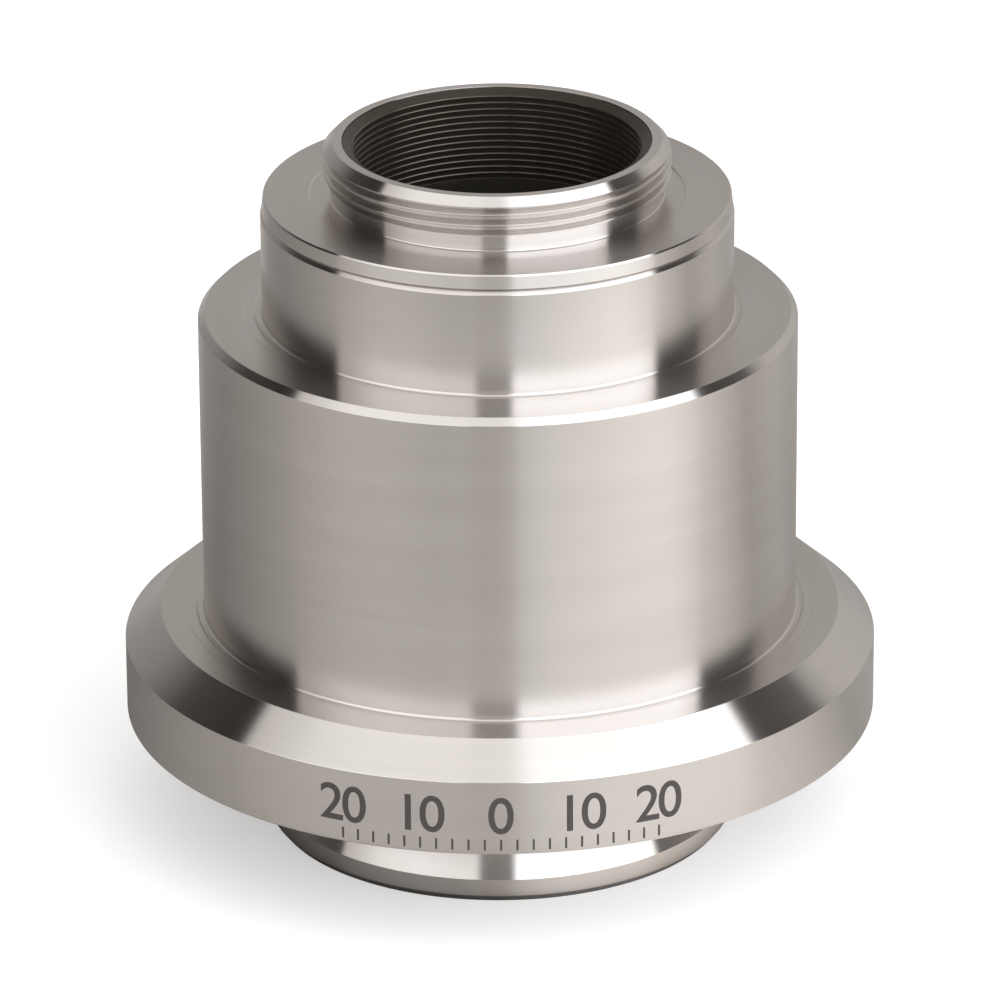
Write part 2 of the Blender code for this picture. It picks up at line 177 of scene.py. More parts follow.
class Outline:
    """Section of a turned piece. Corners run anticlockwise, so solid metal is on the left."""

    ARC_STEPS = 5
    ROOM_SHARE = 0.48
    SHORTEST = 1e-7

    def __init__(self, corners: Sequence[Corner], closed: bool = True) -> None:
        """Round the corners and work out exact normals.

        Args:
            corners: Corners in order.
            closed: False for a section that starts and ends on the axis.
        """
        self.closed = closed
        self.stations = self._finish(list(corners))

    def _finish(self, corners: list[Corner]) -> list[Station]:
        """Turn corners into stations, with an arc at each rounded one.

        Args:
            corners: Corners in order.

        Returns:
            The stations in the same order.
        """
        stations: list[Station] = []
        count = len(corners)
        for i, corner in enumerate(corners):
            here = Vector((corner.radius, corner.height))
            previous = corners[i - 1] if self.closed or i > 0 else None
            following = corners[(i + 1) % count] if self.closed or i < count - 1 else None
            before = self._normal(previous, corner) if previous else None
            after = self._normal(corner, following) if following else None
            if before is None or after is None or corner.rounding <= 0.0:
                stations.append(self._station(here, before or after, after or before))
                continue
            back = Vector((previous.radius, previous.height)) - here
            ahead = Vector((following.radius, following.height)) - here
            stations.extend(self._arc(here, back, ahead, before, after, corner.rounding))
        return stations

    @staticmethod
    def _station(place: Vector, before: Vector, after: Vector) -> Station:
        """Pack one point and its two normals.

        Args:
            place: Radius and height.
            before: Normal of the stretch that ends here.
            after: Normal of the stretch that starts here.

        Returns:
            The station.
        """
        return Station(place.x, place.y, (before.x, before.y), (after.x, after.y))

    @staticmethod
    def _normal(start: Corner, end: Corner) -> Vector:
        """Outward normal of the straight stretch between two corners.

        Args:
            start: First corner.
            end: Next corner.

        Returns:
            A unit vector in radius and height.
        """
        along = Vector((end.radius - start.radius, end.height - start.height)).normalized()
        return Vector((along.y, -along.x))

    def _arc(
        self, here: Vector, back: Vector, ahead: Vector, before: Vector, after: Vector, rounding: float
    ) -> list[Station]:
        """Round one corner, as far as its two stretches leave room.

        Args:
            here: The sharp corner.
            back: Way from it to the corner before.
            ahead: Way from it to the next corner.
            before: Normal of the stretch before.
            after: Normal of the stretch after.
            rounding: Radius of the arc that is asked for.

        Returns:
            Stations along the arc.
        """
        half = back.angle(ahead) / 2.0
        room = self.ROOM_SHARE
        reach = min(rounding / math.tan(half), room * back.length, room * ahead.length)
        radius = reach * math.tan(half)
        centre = here + (back.normalized() + ahead.normalized()).normalized() * (radius / math.sin(half))
        side = 1.0 if (here + back.normalized() * reach - centre).dot(before) > 0.0 else -1.0
        sweep = math.atan2(before.x * after.y - before.y * after.x, before.dot(after))
        arc = []
        for step in range(self.ARC_STEPS + 1):
            normal = Matrix.Rotation(sweep * step / self.ARC_STEPS, 2) @ before
            arc.append(self._station(centre + normal * (side * radius), normal, normal))
        return arc

    def segments(self) -> np.ndarray:
        """Straight pieces between stations.

        Returns:
            One row each: start and end (radius, height), start and end normal, travel so far.
        """
        pairs = list(zip(self.stations, self.stations[1:]))
        if self.closed:
            pairs.append((self.stations[-1], self.stations[0]))
        rows, travel = [], 0.0
        for a, b in pairs:
            length = math.hypot(b.radius - a.radius, b.height - a.height)
            if length > self.SHORTEST:
                rows.append((a.radius, a.height, b.radius, b.height, *a.after, *b.before, travel, length))
            travel += length
        return np.array(rows)


class Lathe:
    """Turns outlines into meshes with exact normals and UVs that follow the turning."""

    POLE_RADIUS = 1e-6
    AXIS_RADIUS = 1e-4
    SHARP_DEG = 30.0
    TURNED_REACH = 0.15
    FACING_WEIGHT = 2.0

    @staticmethod
    def mesh(name: str, outline: Outline, faces_round: int) -> bpy.types.Mesh:
        """Spin an outline about Z.

        Args:
            name: Name of the mesh.
            outline: Section to spin.
            faces_round: Faces round a full turn.

        Returns:
            A welded mesh in metres.
        """
        stations = outline.stations
        points: list[tuple[float, float, float]] = []
        rings: list[list[int]] = []
        for station in stations:
            if station.radius < Lathe.POLE_RADIUS:
                rings.append([len(points)] * faces_round)
                points.append((0.0, 0.0, station.height * MM))
                continue
            start = len(points)
            for step in range(faces_round):
                angle = math.tau * step / faces_round
                x, y = math.cos(angle) * station.radius, math.sin(angle) * station.radius
                points.append((x * MM, y * MM, station.height * MM))
            rings.append(list(range(start, start + faces_round)))
        faces = []
        bands = list(zip(rings, rings[1:]))
        if outline.closed:
            bands.append((rings[-1], rings[0]))
        for low, high in bands:
            for step in range(faces_round):
                following = (step + 1) % faces_round
                face = (low[step], low[following], high[following], high[step])
                unique = tuple(dict.fromkeys(face))
                if len(unique) > 2:
                    faces.append(unique)
        mesh = bpy.data.meshes.new(name)
        mesh.from_pydata(points, [], faces)
        mesh.update()
        return mesh

    @staticmethod
    def dress(mesh: bpy.types.Mesh, outline: Outline) -> None:
        """Give a turned mesh, cut or not, its exact normals and its UVs.

        Each face is matched to the nearest stretch of the outline that faces the same way. A
        face with no stretch within reach was cut by a tool, and keeps its own normals.

        Args:
            mesh: Mesh made by this class.
            outline: Section that it was made from.
        """
        mesh.shade_smooth()
        mesh.set_sharp_from_angle(angle=math.radians(Lathe.SHARP_DEG))
        table = outline.segments()
        start, end = table[:, 0:2], table[:, 2:4]
        along, length = end - start, table[:, 9]
        count = len(mesh.loops)
        places = np.empty(len(mesh.vertices) * 3)
        mesh.vertices.foreach_get("co", places)
        places = places.reshape(-1, 3) / MM
        loop_vertex = np.empty(count, dtype=np.int64)
        mesh.loops.foreach_get("vertex_index", loop_vertex)
        totals = np.empty(len(mesh.polygons), dtype=np.int64)
        mesh.polygons.foreach_get("loop_total", totals)
        face_of_loop = np.repeat(np.arange(len(totals)), totals)
        corners = places[loop_vertex]
        normals = np.empty(count * 3)
        mesh.corner_normals.foreach_get("vector", normals)
        normals = normals.reshape(-1, 3)
        flat = np.empty(len(totals) * 3)
        mesh.polygons.foreach_get("normal", flat)
        flat = flat.reshape(-1, 3)

        def per_face(values: np.ndarray) -> np.ndarray:
            """Mean over the corners of each face.

            Args:
                values: One value for each corner.

            Returns:
                One value for each face.
            """
            return np.bincount(face_of_loop, weights=values, minlength=len(totals)) / totals

        radius = np.hypot(corners[:, 0], corners[:, 1])
        centre = np.stack([per_face(radius), per_face(corners[:, 2])], axis=-1)
        middle = np.stack([per_face(corners[:, 0]), per_face(corners[:, 1])], axis=-1)
        outward = middle / np.maximum(np.hypot(middle[:, 0], middle[:, 1]), 1e-9)[:, None]
        section = np.stack([(flat[:, :2] * outward).sum(axis=1), flat[:, 2]], axis=-1)
        best = np.full(len(totals), np.inf)
        chosen = np.zeros(len(totals), dtype=np.int64)
        for i in range(len(table)):
            share = np.clip(((centre - start[i]) @ along[i]) / length[i] ** 2, 0.0, 1.0)
            gap = np.linalg.norm(centre - start[i] - share[:, None] * along[i], axis=1)
            agrees = section @ ((table[i, 4:6] + table[i, 6:8]) / 2.0)
            gap = gap + Lathe.FACING_WEIGHT * (1.0 - agrees)
            closer = gap < best
            best[closer], chosen[closer] = gap[closer], i
        turned = (best < Lathe.TURNED_REACH)[face_of_loop]
        row = table[chosen[face_of_loop]]
        flat_place = np.stack([radius, corners[:, 2]], axis=-1)
        share = ((flat_place - row[:, 0:2]) * (row[:, 2:4] - row[:, 0:2])).sum(axis=1) / row[:, 9] ** 2
        share = np.clip(share, 0.0, 1.0)[:, None]
        exact = row[:, 4:6] * (1.0 - share) + row[:, 6:8] * share
        exact /= np.linalg.norm(exact, axis=1)[:, None]
        loop_out = outward[face_of_loop].copy()
        off_axis = radius > Lathe.AXIS_RADIUS
        loop_out[off_axis] = corners[off_axis, :2] / radius[off_axis, None]
        normals[turned] = np.column_stack([loop_out * exact[:, :1], exact[:, 1]])[turned]
        mesh.normals_split_custom_set(normals)

        angle = np.arctan2(loop_out[:, 1], loop_out[:, 0]) / math.tau
        face_angle = (np.arctan2(outward[:, 1], outward[:, 0]) / math.tau)[face_of_loop]
        angle -= np.round(angle - face_angle)
        layer = mesh.uv_layers.get(UV_NAME) or mesh.uv_layers.new(name=UV_NAME)
        travel = row[:, 8] + share[:, 0] * row[:, 9]
        layer.data.foreach_set("uv", np.column_stack([angle, travel / UV_SPAN_MM]).ravel())


def evaluated_copy(thing: bpy.types.Object, name: str) -> bpy.types.Mesh:
    """Take an object's evaluated mesh and remove the object and its modifiers.

    Args:
        thing: Object with modifiers.
        name: Name of the new mesh.

    Returns:
        The finished mesh.
    """
    graph = bpy.context.evaluated_depsgraph_get()
    graph.update()
    mesh = bpy.data.meshes.new_from_object(thing.evaluated_get(graph), depsgraph=graph)
    mesh.name = name
    thing.modifiers.clear()
    bpy.data.objects.remove(thing, do_unlink=True)
    return mesh


def link_object(name: str, mesh: bpy.types.Mesh) -> bpy.types.Object:
    """Put a mesh into the scene at the origin.

    Args:
        name: Name of the object.
        mesh: Its mesh.

    Returns:
        The new object.
    """
    thing = bpy.data.objects.new(name, mesh)
    bpy.context.scene.collection.objects.link(thing)
    return thing


def place(
    name: str,
    mesh: bpy.types.Mesh,
    material: bpy.types.Material,
    body: Body,
    slot: str | None,
    replaced: Sequence[str] = (),
) -> bpy.types.Object:
    """Finish one piece: material, body and the CAD nodes that it stands for.

    Args:
        name: Piece name.
        mesh: Its mesh, in the shared frame.
        material: Finish of every face that has none of its own.
        body: Body that it rides on.
        slot: Name of a material slot, or None for paint that has no slot. It is not used.
        replaced: CAD nodes that it replaces.

    Returns:
        The piece's object.
    """
    if not mesh.materials:
        mesh.materials.append(material)
    thing = link_object(name, mesh)
    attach(thing, body.value)
    if replaced:
        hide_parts(*replaced)
    LOG.info("%s: %d faces on %s", name, len(mesh.polygons), body.value)
    return thing


def cut_mesh(name: str, mesh: bpy.types.Mesh, cutters: Sequence[bpy.types.Mesh]) -> bpy.types.Mesh:
    """Subtract closed cutters from a closed mesh.

    Args:
        name: Name of the result.
        mesh: Mesh to cut.
        cutters: Meshes that are subtracted.

    Returns:
        The cut mesh, with no materials.
    """
    blank = link_object(f"{name}_blank", mesh)
    tools = [link_object(f"{name}_cutter", cutter) for cutter in cutters]
    for tool in tools:
        modifier = blank.modifiers.new("cut", "BOOLEAN")
        modifier.operation = "DIFFERENCE"
        modifier.solver = "EXACT"
        modifier.object = tool
    result = evaluated_copy(blank, name)
    for tool in tools:
        bpy.data.objects.remove(tool, do_unlink=True)
    result.materials.clear()
    return result


def turned_piece(
    name: str,
    outline: Outline,
    finish: "Finish",
    body: Body,
    slot: str,
    turn: Turn = Turn.PLAIN,
    replaced: Sequence[str] = (),
    cutters: Sequence[bpy.types.Mesh] = (),
) -> bpy.types.Object:
    """Turn a piece, cut it where needed and place it.

    Args:
        name: Piece name.
        outline: Section.
        finish: Finish that makes its material.
        body: Body that it rides on.
        slot: Name of a material slot, handed on to place.
        turn: Fineness of the turning.
        replaced: CAD nodes that it replaces.
        cutters: Meshes that are subtracted.

    Returns:
        The piece's object.
    """
    mesh = Lathe.mesh(name, outline, turn.value)
    if cutters:
        mesh = cut_mesh(name, mesh, cutters)
    Lathe.dress(mesh, outline)
    return place(name, mesh, finish.material(), body, slot, replaced)


def ring_corners(inner: float, outer: float, low: float, high: float, edge: float) -> list[Corner]:
    """Corners of a plain ring with broken edges.

    Args:
        inner: Bore radius.
        outer: Outside radius.
        low: Lower height.
        high: Upper height.
        edge: Radius of each edge.

    Returns:
        The four corners.
    """
    return [
        Corner(inner, low, edge),
        Corner(outer, low, edge),
        Corner(outer, high, edge),
        Corner(inner, high, edge),
    ]


def slot_cutter(reach: float, width: float, middle: float, depth: float) -> bpy.types.Mesh:
    """Long block that cuts a pair of spanner slots.

    Args:
        reach: Half its length.
        width: Width of the slots.
        middle: Height of the face that is slotted.
        depth: Depth of the slots.

    Returns:
        The cutter's mesh.
    """
    shape = bmesh.new()
    bmesh.ops.create_cube(shape, size=2.0)
    bmesh.ops.scale(shape, verts=shape.verts, vec=(reach * MM, width / 2.0 * MM, depth * MM))
    bmesh.ops.translate(shape, verts=shape.verts, vec=(0.0, 0.0, middle * MM))
    mesh = bpy.data.meshes.new("slot")
    shape.to_mesh(mesh)
    shape.free()
    return mesh


# Finishes


@dataclass(frozen=True)
class Finish:
    """Base of the finishes. A finish makes its material when it is first asked for."""

    name: str

    def material(self) -> bpy.types.Material:
        """The finish as a material.

        Returns:
            The material, the same one at each call.
        """
        made = bpy.data.materials.get(self.name)
        if made is None:
            made = bpy.data.materials.new(self.name)
            made.use_nodes = True
            self.build(Nodes(made.node_tree))
        return made

    def build(self, nodes: Nodes) -> None:
        """Fill in the node tree.

        Args:
            nodes: Helper on an empty tree.
        """
        raise NotImplementedError


def turning_vector(nodes: Nodes, per_mm: float, around: float) -> bpy.types.Node:
    """Coordinates that run fast across the tool marks and slowly along them, with no seam.

    Args:
        nodes: Helper on a shader tree.
        per_mm: Texture units for each millimetre across the marks.
        around: Texture units for the radius of the circle along the marks.

    Returns:
        The node that gives the vector.
    """
    spot = nodes.add("ShaderNodeTexCoord").outputs["Object"]
    flat = nodes.add("ShaderNodeVectorMath", {0: spot, 1: (1.0, 1.0, 0.0)}, operation="MULTIPLY")
    unit = nodes.add("ShaderNodeVectorMath", {0: flat}, operation="NORMALIZE")
    ring = nodes.add("ShaderNodeVectorMath", {0: unit, "Scale": around}, operation="SCALE")
    travel = nodes.add("ShaderNodeSeparateXYZ", {0: nodes.add("ShaderNodeUVMap", uv_map=UV_NAME)})
    units = UV_SPAN_MM * per_mm
    across = nodes.add("ShaderNodeMath", {0: travel.outputs["Y"], 1: units}, operation="MULTIPLY")
    rise = nodes.add("ShaderNodeCombineXYZ", {"Z": across})
    return nodes.add("ShaderNodeVectorMath", {0: ring, 1: rise}, operation="ADD")


@dataclass(frozen=True)
class TurnedSteel(Finish):
    """Bare steel off the lathe: fine rings round the axis that stretch highlights across them."""

    light: str = "#D1CCC9"
    dark: str = "#CDC8C4"
    roughness: float = 0.2
    roughness_swing: float = 0.1
    anisotropy: float = 1.0
    # A finishing feed of about 0.11 mm a turn, and marks half a micrometre deep.
    marks_per_mm: float = 9.0
    mark_length: float = 1.2
    mark_depth_mm: float = 0.0005
    # Passes of the tool 1 to 2 mm wide, each a shade apart from the next.
    passes_per_mm: float = 0.6
    pass_length: float = 0.8

    def build(self, nodes: Nodes) -> None:
        """Warm grey steel with tool marks in colour, roughness and bump.

        Args:
            nodes: Helper on an empty tree.
        """
        along_marks = turning_vector(nodes, self.marks_per_mm, self.mark_length)
        marks = nodes.add("ShaderNodeTexNoise", {"Vector": along_marks, "Scale": 1.0, "Detail": 3.0})
        along_passes = turning_vector(nodes, self.passes_per_mm, self.pass_length)
        passes = nodes.add("ShaderNodeTexNoise", {"Vector": along_passes, "Scale": 1.0, "Detail": 2.0})
        tone = nodes.add(
            "ShaderNodeValToRGB",
            {"Fac": passes.outputs["Fac"]},
            [(0.35, srgb(self.dark)), (0.65, srgb(self.light))],
        )
        rough = nodes.add(
            "ShaderNodeMapRange",
            {
                "Value": marks.outputs["Fac"],
                "To Min": self.roughness * (1.0 - self.roughness_swing),
                "To Max": self.roughness * (1.0 + self.roughness_swing),
            },
        )
        depth = self.mark_depth_mm * MM
        bump = nodes.add(
            "ShaderNodeBump", {"Strength": 1.0, "Distance": depth, "Height": marks.outputs["Fac"]}
        )
        shader = nodes.add(
            "ShaderNodeBsdfPrincipled",
            {
                "Base Color": tone,
                "Metallic": 1.0,
                "Roughness": rough,
                "Anisotropic": self.anisotropy,
                "Anisotropic Rotation": 0.25,
                "Tangent": nodes.add("ShaderNodeTangent", direction_type="UV_MAP", uv_map=UV_NAME),
                "Normal": bump,
            },
        )
        nodes.add("ShaderNodeOutputMaterial", {"Surface": shader})


@dataclass(frozen=True)
class BlackAnodised(Finish):
    """Aluminium anodised black: satin, slightly brown, with fine turning under the dye."""

    colour: str = "#2A2722"
    worn: str = "#35312B"
    roughness: float = 0.36
    roughness_swing: float = 0.06
    marks_per_mm: float = 7.0
    mark_length: float = 1.5
    mark_depth_mm: float = 0.0015
    # The dye soaks up most of what the clear oxide would mirror, so the index is taken low.
    ior: float = 1.33
    tint: str = "#FFF0D8"

    def build(self, nodes: Nodes) -> None:
        """Black dye that is a little paler on the crests of the tool marks.

        Args:
            nodes: Helper on an empty tree.
        """
        along_marks = turning_vector(nodes, self.marks_per_mm, self.mark_length)
        marks = nodes.add("ShaderNodeTexNoise", {"Vector": along_marks, "Scale": 1.0, "Detail": 3.0})
        tone = nodes.add(
            "ShaderNodeValToRGB",
            {"Fac": marks.outputs["Fac"]},
            [(0.4, srgb(self.colour)), (0.8, srgb(self.worn))],
        )
        rough = nodes.add(
            "ShaderNodeMapRange",
            {
                "Value": marks.outputs["Fac"],
                "To Min": self.roughness - self.roughness_swing,
                "To Max": self.roughness + self.roughness_swing,
            },
        )
        depth = self.mark_depth_mm * MM
        bump = nodes.add(
            "ShaderNodeBump", {"Strength": 1.0, "Distance": depth, "Height": marks.outputs["Fac"]}
        )
        shader = nodes.add(
            "ShaderNodeBsdfPrincipled",
            {
                "Base Color": tone,
                "Roughness": rough,
                "IOR": self.ior,
                "Specular Tint": srgb(self.tint),
                "Normal": bump,
            },
        )
        nodes.add("ShaderNodeOutputMaterial", {"Surface": shader})


@dataclass(frozen=True)
class RubbedAnodisingWithHighlight(Finish):
    """Sharp edges of a black anodised part, where handling has rubbed the dye thin, with a painted highlight
    that is strongest on the left.
    """

    colour: str = "#686156"
    dyed: str = "#36322C"
    roughness: float = 0.3
    metallic: float = 0.7
    # Painted highlight, strongest at the left end of this span, in millimetres from the axis.
    painted_highlight_from: float = -6.0
    painted_highlight_to: float = 5.0
    painted_highlight_share: float = 0.55
    patches_per_mm: float = 2.0
    patch_length: float = 9.0

    def build(self, nodes: Nodes) -> None:
        """Half metallic grey brown, patchy along the edge, with a painted highlight that is stronger on one
        side.

        Args:
            nodes: Helper on an empty tree.
        """
        spot = nodes.add("ShaderNodeTexCoord").outputs["Object"]
        side = nodes.add(
            "ShaderNodeMapRange",
            {
                "Value": nodes.add("ShaderNodeSeparateXYZ", {0: spot}).outputs["X"],
                "From Min": self.painted_highlight_from * MM,
                "From Max": self.painted_highlight_to * MM,
                "To Min": self.painted_highlight_share,
                "To Max": 0.0,
            },
        )
        along_patches = turning_vector(nodes, self.patches_per_mm, self.patch_length)
        wear = nodes.add("ShaderNodeTexNoise", {"Vector": along_patches, "Scale": 1.0, "Detail": 3.0})
        centred = nodes.add("ShaderNodeMath", {0: wear.outputs["Fac"], 1: 0.5}, operation="SUBTRACT")
        # Rubbed patches from the noise, plus the painted highlight that is strongest on the left.
        rubbed = nodes.add("ShaderNodeMath", {0: centred, 1: side}, operation="ADD")
        tone = nodes.add(
            "ShaderNodeValToRGB", {"Fac": rubbed}, [(0.0, srgb(self.dyed)), (0.55, srgb(self.colour))]
        )
        rough = nodes.add(
            "ShaderNodeMapRange",
            {
                "Value": wear.outputs["Fac"],
                "To Min": self.roughness - 0.05,
                "To Max": self.roughness + 0.1,
            },
        )
        shader = nodes.add(
            "ShaderNodeBsdfPrincipled",
            {"Base Color": tone, "Metallic": self.metallic, "Roughness": rough},
        )
        nodes.add("ShaderNodeOutputMaterial", {"Surface": shader})


@dataclass(frozen=True)
class BlackOxideSteel(Finish):
    """Screw steel blackened in an oxide bath: dark metal with a mottled, oily sheen."""

    colour: str = "#3A3838"
    bright: str = "#57534F"
    mottles_per_mm: float = 2.2
    mottle_depth_mm: float = 0.002

    def build(self, nodes: Nodes) -> None:
        """Mottled dark metal.

        Args:
            nodes: Helper on an empty tree.
        """
        spot = nodes.add("ShaderNodeTexCoord").outputs["Object"]
        mottle = nodes.add(
            "ShaderNodeTexNoise", {"Vector": spot, "Scale": self.mottles_per_mm / MM, "Detail": 4.0}
        )
        tone = nodes.add(
            "ShaderNodeValToRGB",
            {"Fac": mottle.outputs["Fac"]},
            [(0.35, srgb(self.colour)), (0.75, srgb(self.bright))],
        )
        rough = nodes.add(
            "ShaderNodeMapRange", {"Value": mottle.outputs["Fac"], "To Min": 0.3, "To Max": 0.48}
        )
        depth = self.mottle_depth_mm * MM
        bump = nodes.add(
            "ShaderNodeBump", {"Strength": 0.6, "Distance": depth, "Height": mottle.outputs["Fac"]}
        )
        shader = nodes.add(
            "ShaderNodeBsdfPrincipled",
            {"Base Color": tone, "Metallic": 1.0, "Roughness": rough, "Normal": bump},
        )
        nodes.add("ShaderNodeOutputMaterial", {"Surface": shader})


@dataclass(frozen=True)
class CoatedGlass(Finish):
    """Polished optical glass with a thin coating that tints its reflections."""

    colour: str = "#F4FAF7"
    ior: float = 1.517
    film_nm: float = 110.0
    film_ior: float = 1.38
    dust_per_mm: float = 0.9

    def build(self, nodes: Nodes) -> None:
        """Clear glass, with faint dust in the roughness.

        Args:
            nodes: Helper on an empty tree.
        """
        spot = nodes.add("ShaderNodeTexCoord").outputs["Object"]
        dust = nodes.add(
            "ShaderNodeTexNoise", {"Vector": spot, "Scale": self.dust_per_mm / MM, "Detail": 2.0}
        )
        rough = nodes.add(
            "ShaderNodeMapRange",
            {
                "Value": dust.outputs["Fac"],
                "From Min": 0.6,
                "From Max": 0.9,
                "To Min": 0.0,
                "To Max": 0.03,
            },
        )
        shader = nodes.add(
            "ShaderNodeBsdfPrincipled",
            {
                "Base Color": srgb(self.colour),
                "Roughness": rough,
                "IOR": self.ior,
                "Transmission Weight": 1.0,
                "Thin Film Thickness": self.film_nm,
                "Thin Film IOR": self.film_ior,
            },
        )
        nodes.add("ShaderNodeOutputMaterial", {"Surface": shader})


@dataclass(frozen=True)
class MattInk(Finish):
    """Matt ink on the ground edge of a lens, and dark paint in engraved numbers."""

    colour: str = "#0E0E0E"
    thin: str = "#1B1A19"
    grains_per_mm: float = 5.0
    grain_depth_mm: float = 0.003
    roughness: float = 0.65

    def build(self, nodes: Nodes) -> None:
        """Matt ink with a slight grain.

        Args:
            nodes: Helper on an empty tree.
        """
        spot = nodes.add("ShaderNodeTexCoord").outputs["Object"]
        grain = nodes.add(
            "ShaderNodeTexNoise", {"Vector": spot, "Scale": self.grains_per_mm / MM, "Detail": 3.0}
        )
        tone = nodes.add(
            "ShaderNodeValToRGB",
            {"Fac": grain.outputs["Fac"]},
            [(0.3, srgb(self.colour)), (0.7, srgb(self.thin))],
        )
        depth = self.grain_depth_mm * MM
        bump = nodes.add(
            "ShaderNodeBump", {"Strength": 0.5, "Distance": depth, "Height": grain.outputs["Fac"]}
        )
        shader = nodes.add(
            "ShaderNodeBsdfPrincipled",
            {"Base Color": tone, "Roughness": self.roughness, "Normal": bump},
        )
        nodes.add("ShaderNodeOutputMaterial", {"Surface": shader})


@dataclass(frozen=True)
class Finishes:
    """Every finish on the adapter, with what each one gives the eye."""

    # Stainless bar, turned: a satin wall where each lamp stretches into a soft upright band.
    body_steel: TurnedSteel = TurnedSteel("turned stainless steel")
    # The same steel at a finer feed, so that the camera ring looks a little smoother.
    ring_steel: TurnedSteel = TurnedSteel("turned stainless camera ring", marks_per_mm=11.0)
    # Steel ground to a running fit: an even grey with hardly a mark.
    sleeve_steel: TurnedSteel = TurnedSteel("ground sleeve steel", marks_per_mm=14.0)
    # Spring strip as rolled: darker and duller than the turned steel.
    spring_steel: TurnedSteel = TurnedSteel("rolled spring steel", "#A59C90", "#8E867C", roughness=0.32)
    # Screws from an oxide bath: near black, mottled, with an oily gleam.
    screw_steel: BlackOxideSteel = BlackOxideSteel("black oxide screw steel")
    # Aluminium tube, turned and anodised: brownish black that soaks up stray light.
    black_tube: BlackAnodised = BlackAnodised("black anodised ribbed tube")
    # Rib edges with the dye rubbed off and a painted highlight, brightest on the left: thin grey lines that
    # tell one rib from the next.
    rubbed_edge_with_highlight: RubbedAnodisingWithHighlight = RubbedAnodisingWithHighlight("rubbed black anodising edges with painted highlight")
    # Barrel, turned and anodised: the deepest black, for it stands beside the light path.
    black_barrel: BlackAnodised = BlackAnodised("black anodised barrel", "#1A1A1B", "#2E2D2D")
    # Rings that a spanner turns: anodised black, slightly duller than the barrel.
    black_ring: BlackAnodised = BlackAnodised("black anodised rings", "#1C1B1B", "#353433", 0.38)
    # Crown glass, polished and coated: clear, with a faint cool reflection.
    crown_glass: CoatedGlass = CoatedGlass("coated crown glass")
    # Flint glass, polished and coated: heavier, a touch yellow, with stronger reflections.
    flint_glass: CoatedGlass = CoatedGlass("coated flint glass", "#F7F6EA", 1.62, 95.0)
    # Ground lens edge under ink: dead black, so that the rim of the glass doesn't glow.
    edge_ink: MattInk = MattInk("matt black edge ink")
    # Paint wiped into engraved figures: dark warm grey with a fine grain.
    number_paint: MattInk = MattInk("dark engraving paint", "#3B3634", "#4A4441", 9.0)


# Geometry node tools


class NodeTool:
    """A geometry node group that is built here, run once and applied."""

    def __init__(self, name: str) -> None:
        """Start an empty group.

        Args:
            name: Name of the group.
        """
        self.group = bpy.data.node_groups.new(name, "GeometryNodeTree")
        self.nodes = Nodes(self.group)
        self.group.interface.new_socket("Geometry", in_out="OUTPUT", socket_type="NodeSocketGeometry")
        self.identifiers: dict[str, str] = {}
        self.entry = self.nodes.add("NodeGroupInput")

    def number(self, name: str, whole: bool = False) -> None:
        """Declare a named number input.

        Args:
            name: Name of the input.
            whole: True for an integer.
        """
        kind = "NodeSocketInt" if whole else "NodeSocketFloat"
        self.identifiers[name] = self.group.interface.new_socket(
            name, in_out="INPUT", socket_type=kind
        ).identifier

    def value(self, name: str) -> bpy.types.NodeSocket:
        """Socket of a declared input.

        Args:
            name: Name of the input.

        Returns:
            Its output socket on the group's entry.
        """
        return self.entry.outputs[name]

    def close(self, geometry: bpy.types.NodeSocket, material: bpy.types.Material) -> None:
        """End the group in realized instances of one material.

        Args:
            geometry: What the group makes.
            material: Material of every face.
        """
        real = self.nodes.add("GeometryNodeRealizeInstances", {"Geometry": geometry})
        painted = self.nodes.add(
            "GeometryNodeSetMaterial", {"Geometry": real.outputs[0], "Material": material}
        )
        self.nodes.add("NodeGroupOutput", {"Geometry": painted.outputs[0]})

    def run(self, name: str, **values: float) -> bpy.types.Mesh:
        """Run the group on an empty object.

        Args:
            name: Name of the mesh.
            **values: Value of each input, with underscores for spaces.

        Returns:
            The finished mesh.
        """
        thing = link_object(f"{name}_tool", bpy.data.meshes.new(f"{name}_tool"))
        modifier = thing.modifiers.new("nodes", "NODES")
        modifier.node_group = self.group
        for key, value in values.items():
            modifier[self.identifiers[key.replace("_", " ")]] = value
        return evaluated_copy(thing, name)


class RibStack(NodeTool):
    """Copies of one turned rib, stacked along the axis."""

    def __init__(self, rib: bpy.types.Object, material: bpy.types.Material) -> None:
        """Build the group.

        Args:
            rib: Object of one rib, turned at its top place.
            material: Finish of the ribs.
        """
        super().__init__("rib stack")
        self.number("rib count", whole=True)
        self.number("rib pitch")
        nodes = self.nodes
        drop = nodes.add("ShaderNodeMath", {0: self.value("rib pitch"), 1: -1.0}, operation="MULTIPLY")
        step = nodes.add("ShaderNodeCombineXYZ", {"Z": drop})
        line = nodes.add("GeometryNodeMeshLine", {"Count": self.value("rib count"), "Offset": step})
        source = nodes.add("GeometryNodeObjectInfo", {"Object": rib})
        copies = nodes.add(
            "GeometryNodeInstanceOnPoints",
            {"Points": line.outputs["Mesh"], "Instance": source.outputs["Geometry"]},
        )
        self.close(copies.outputs[0], material)


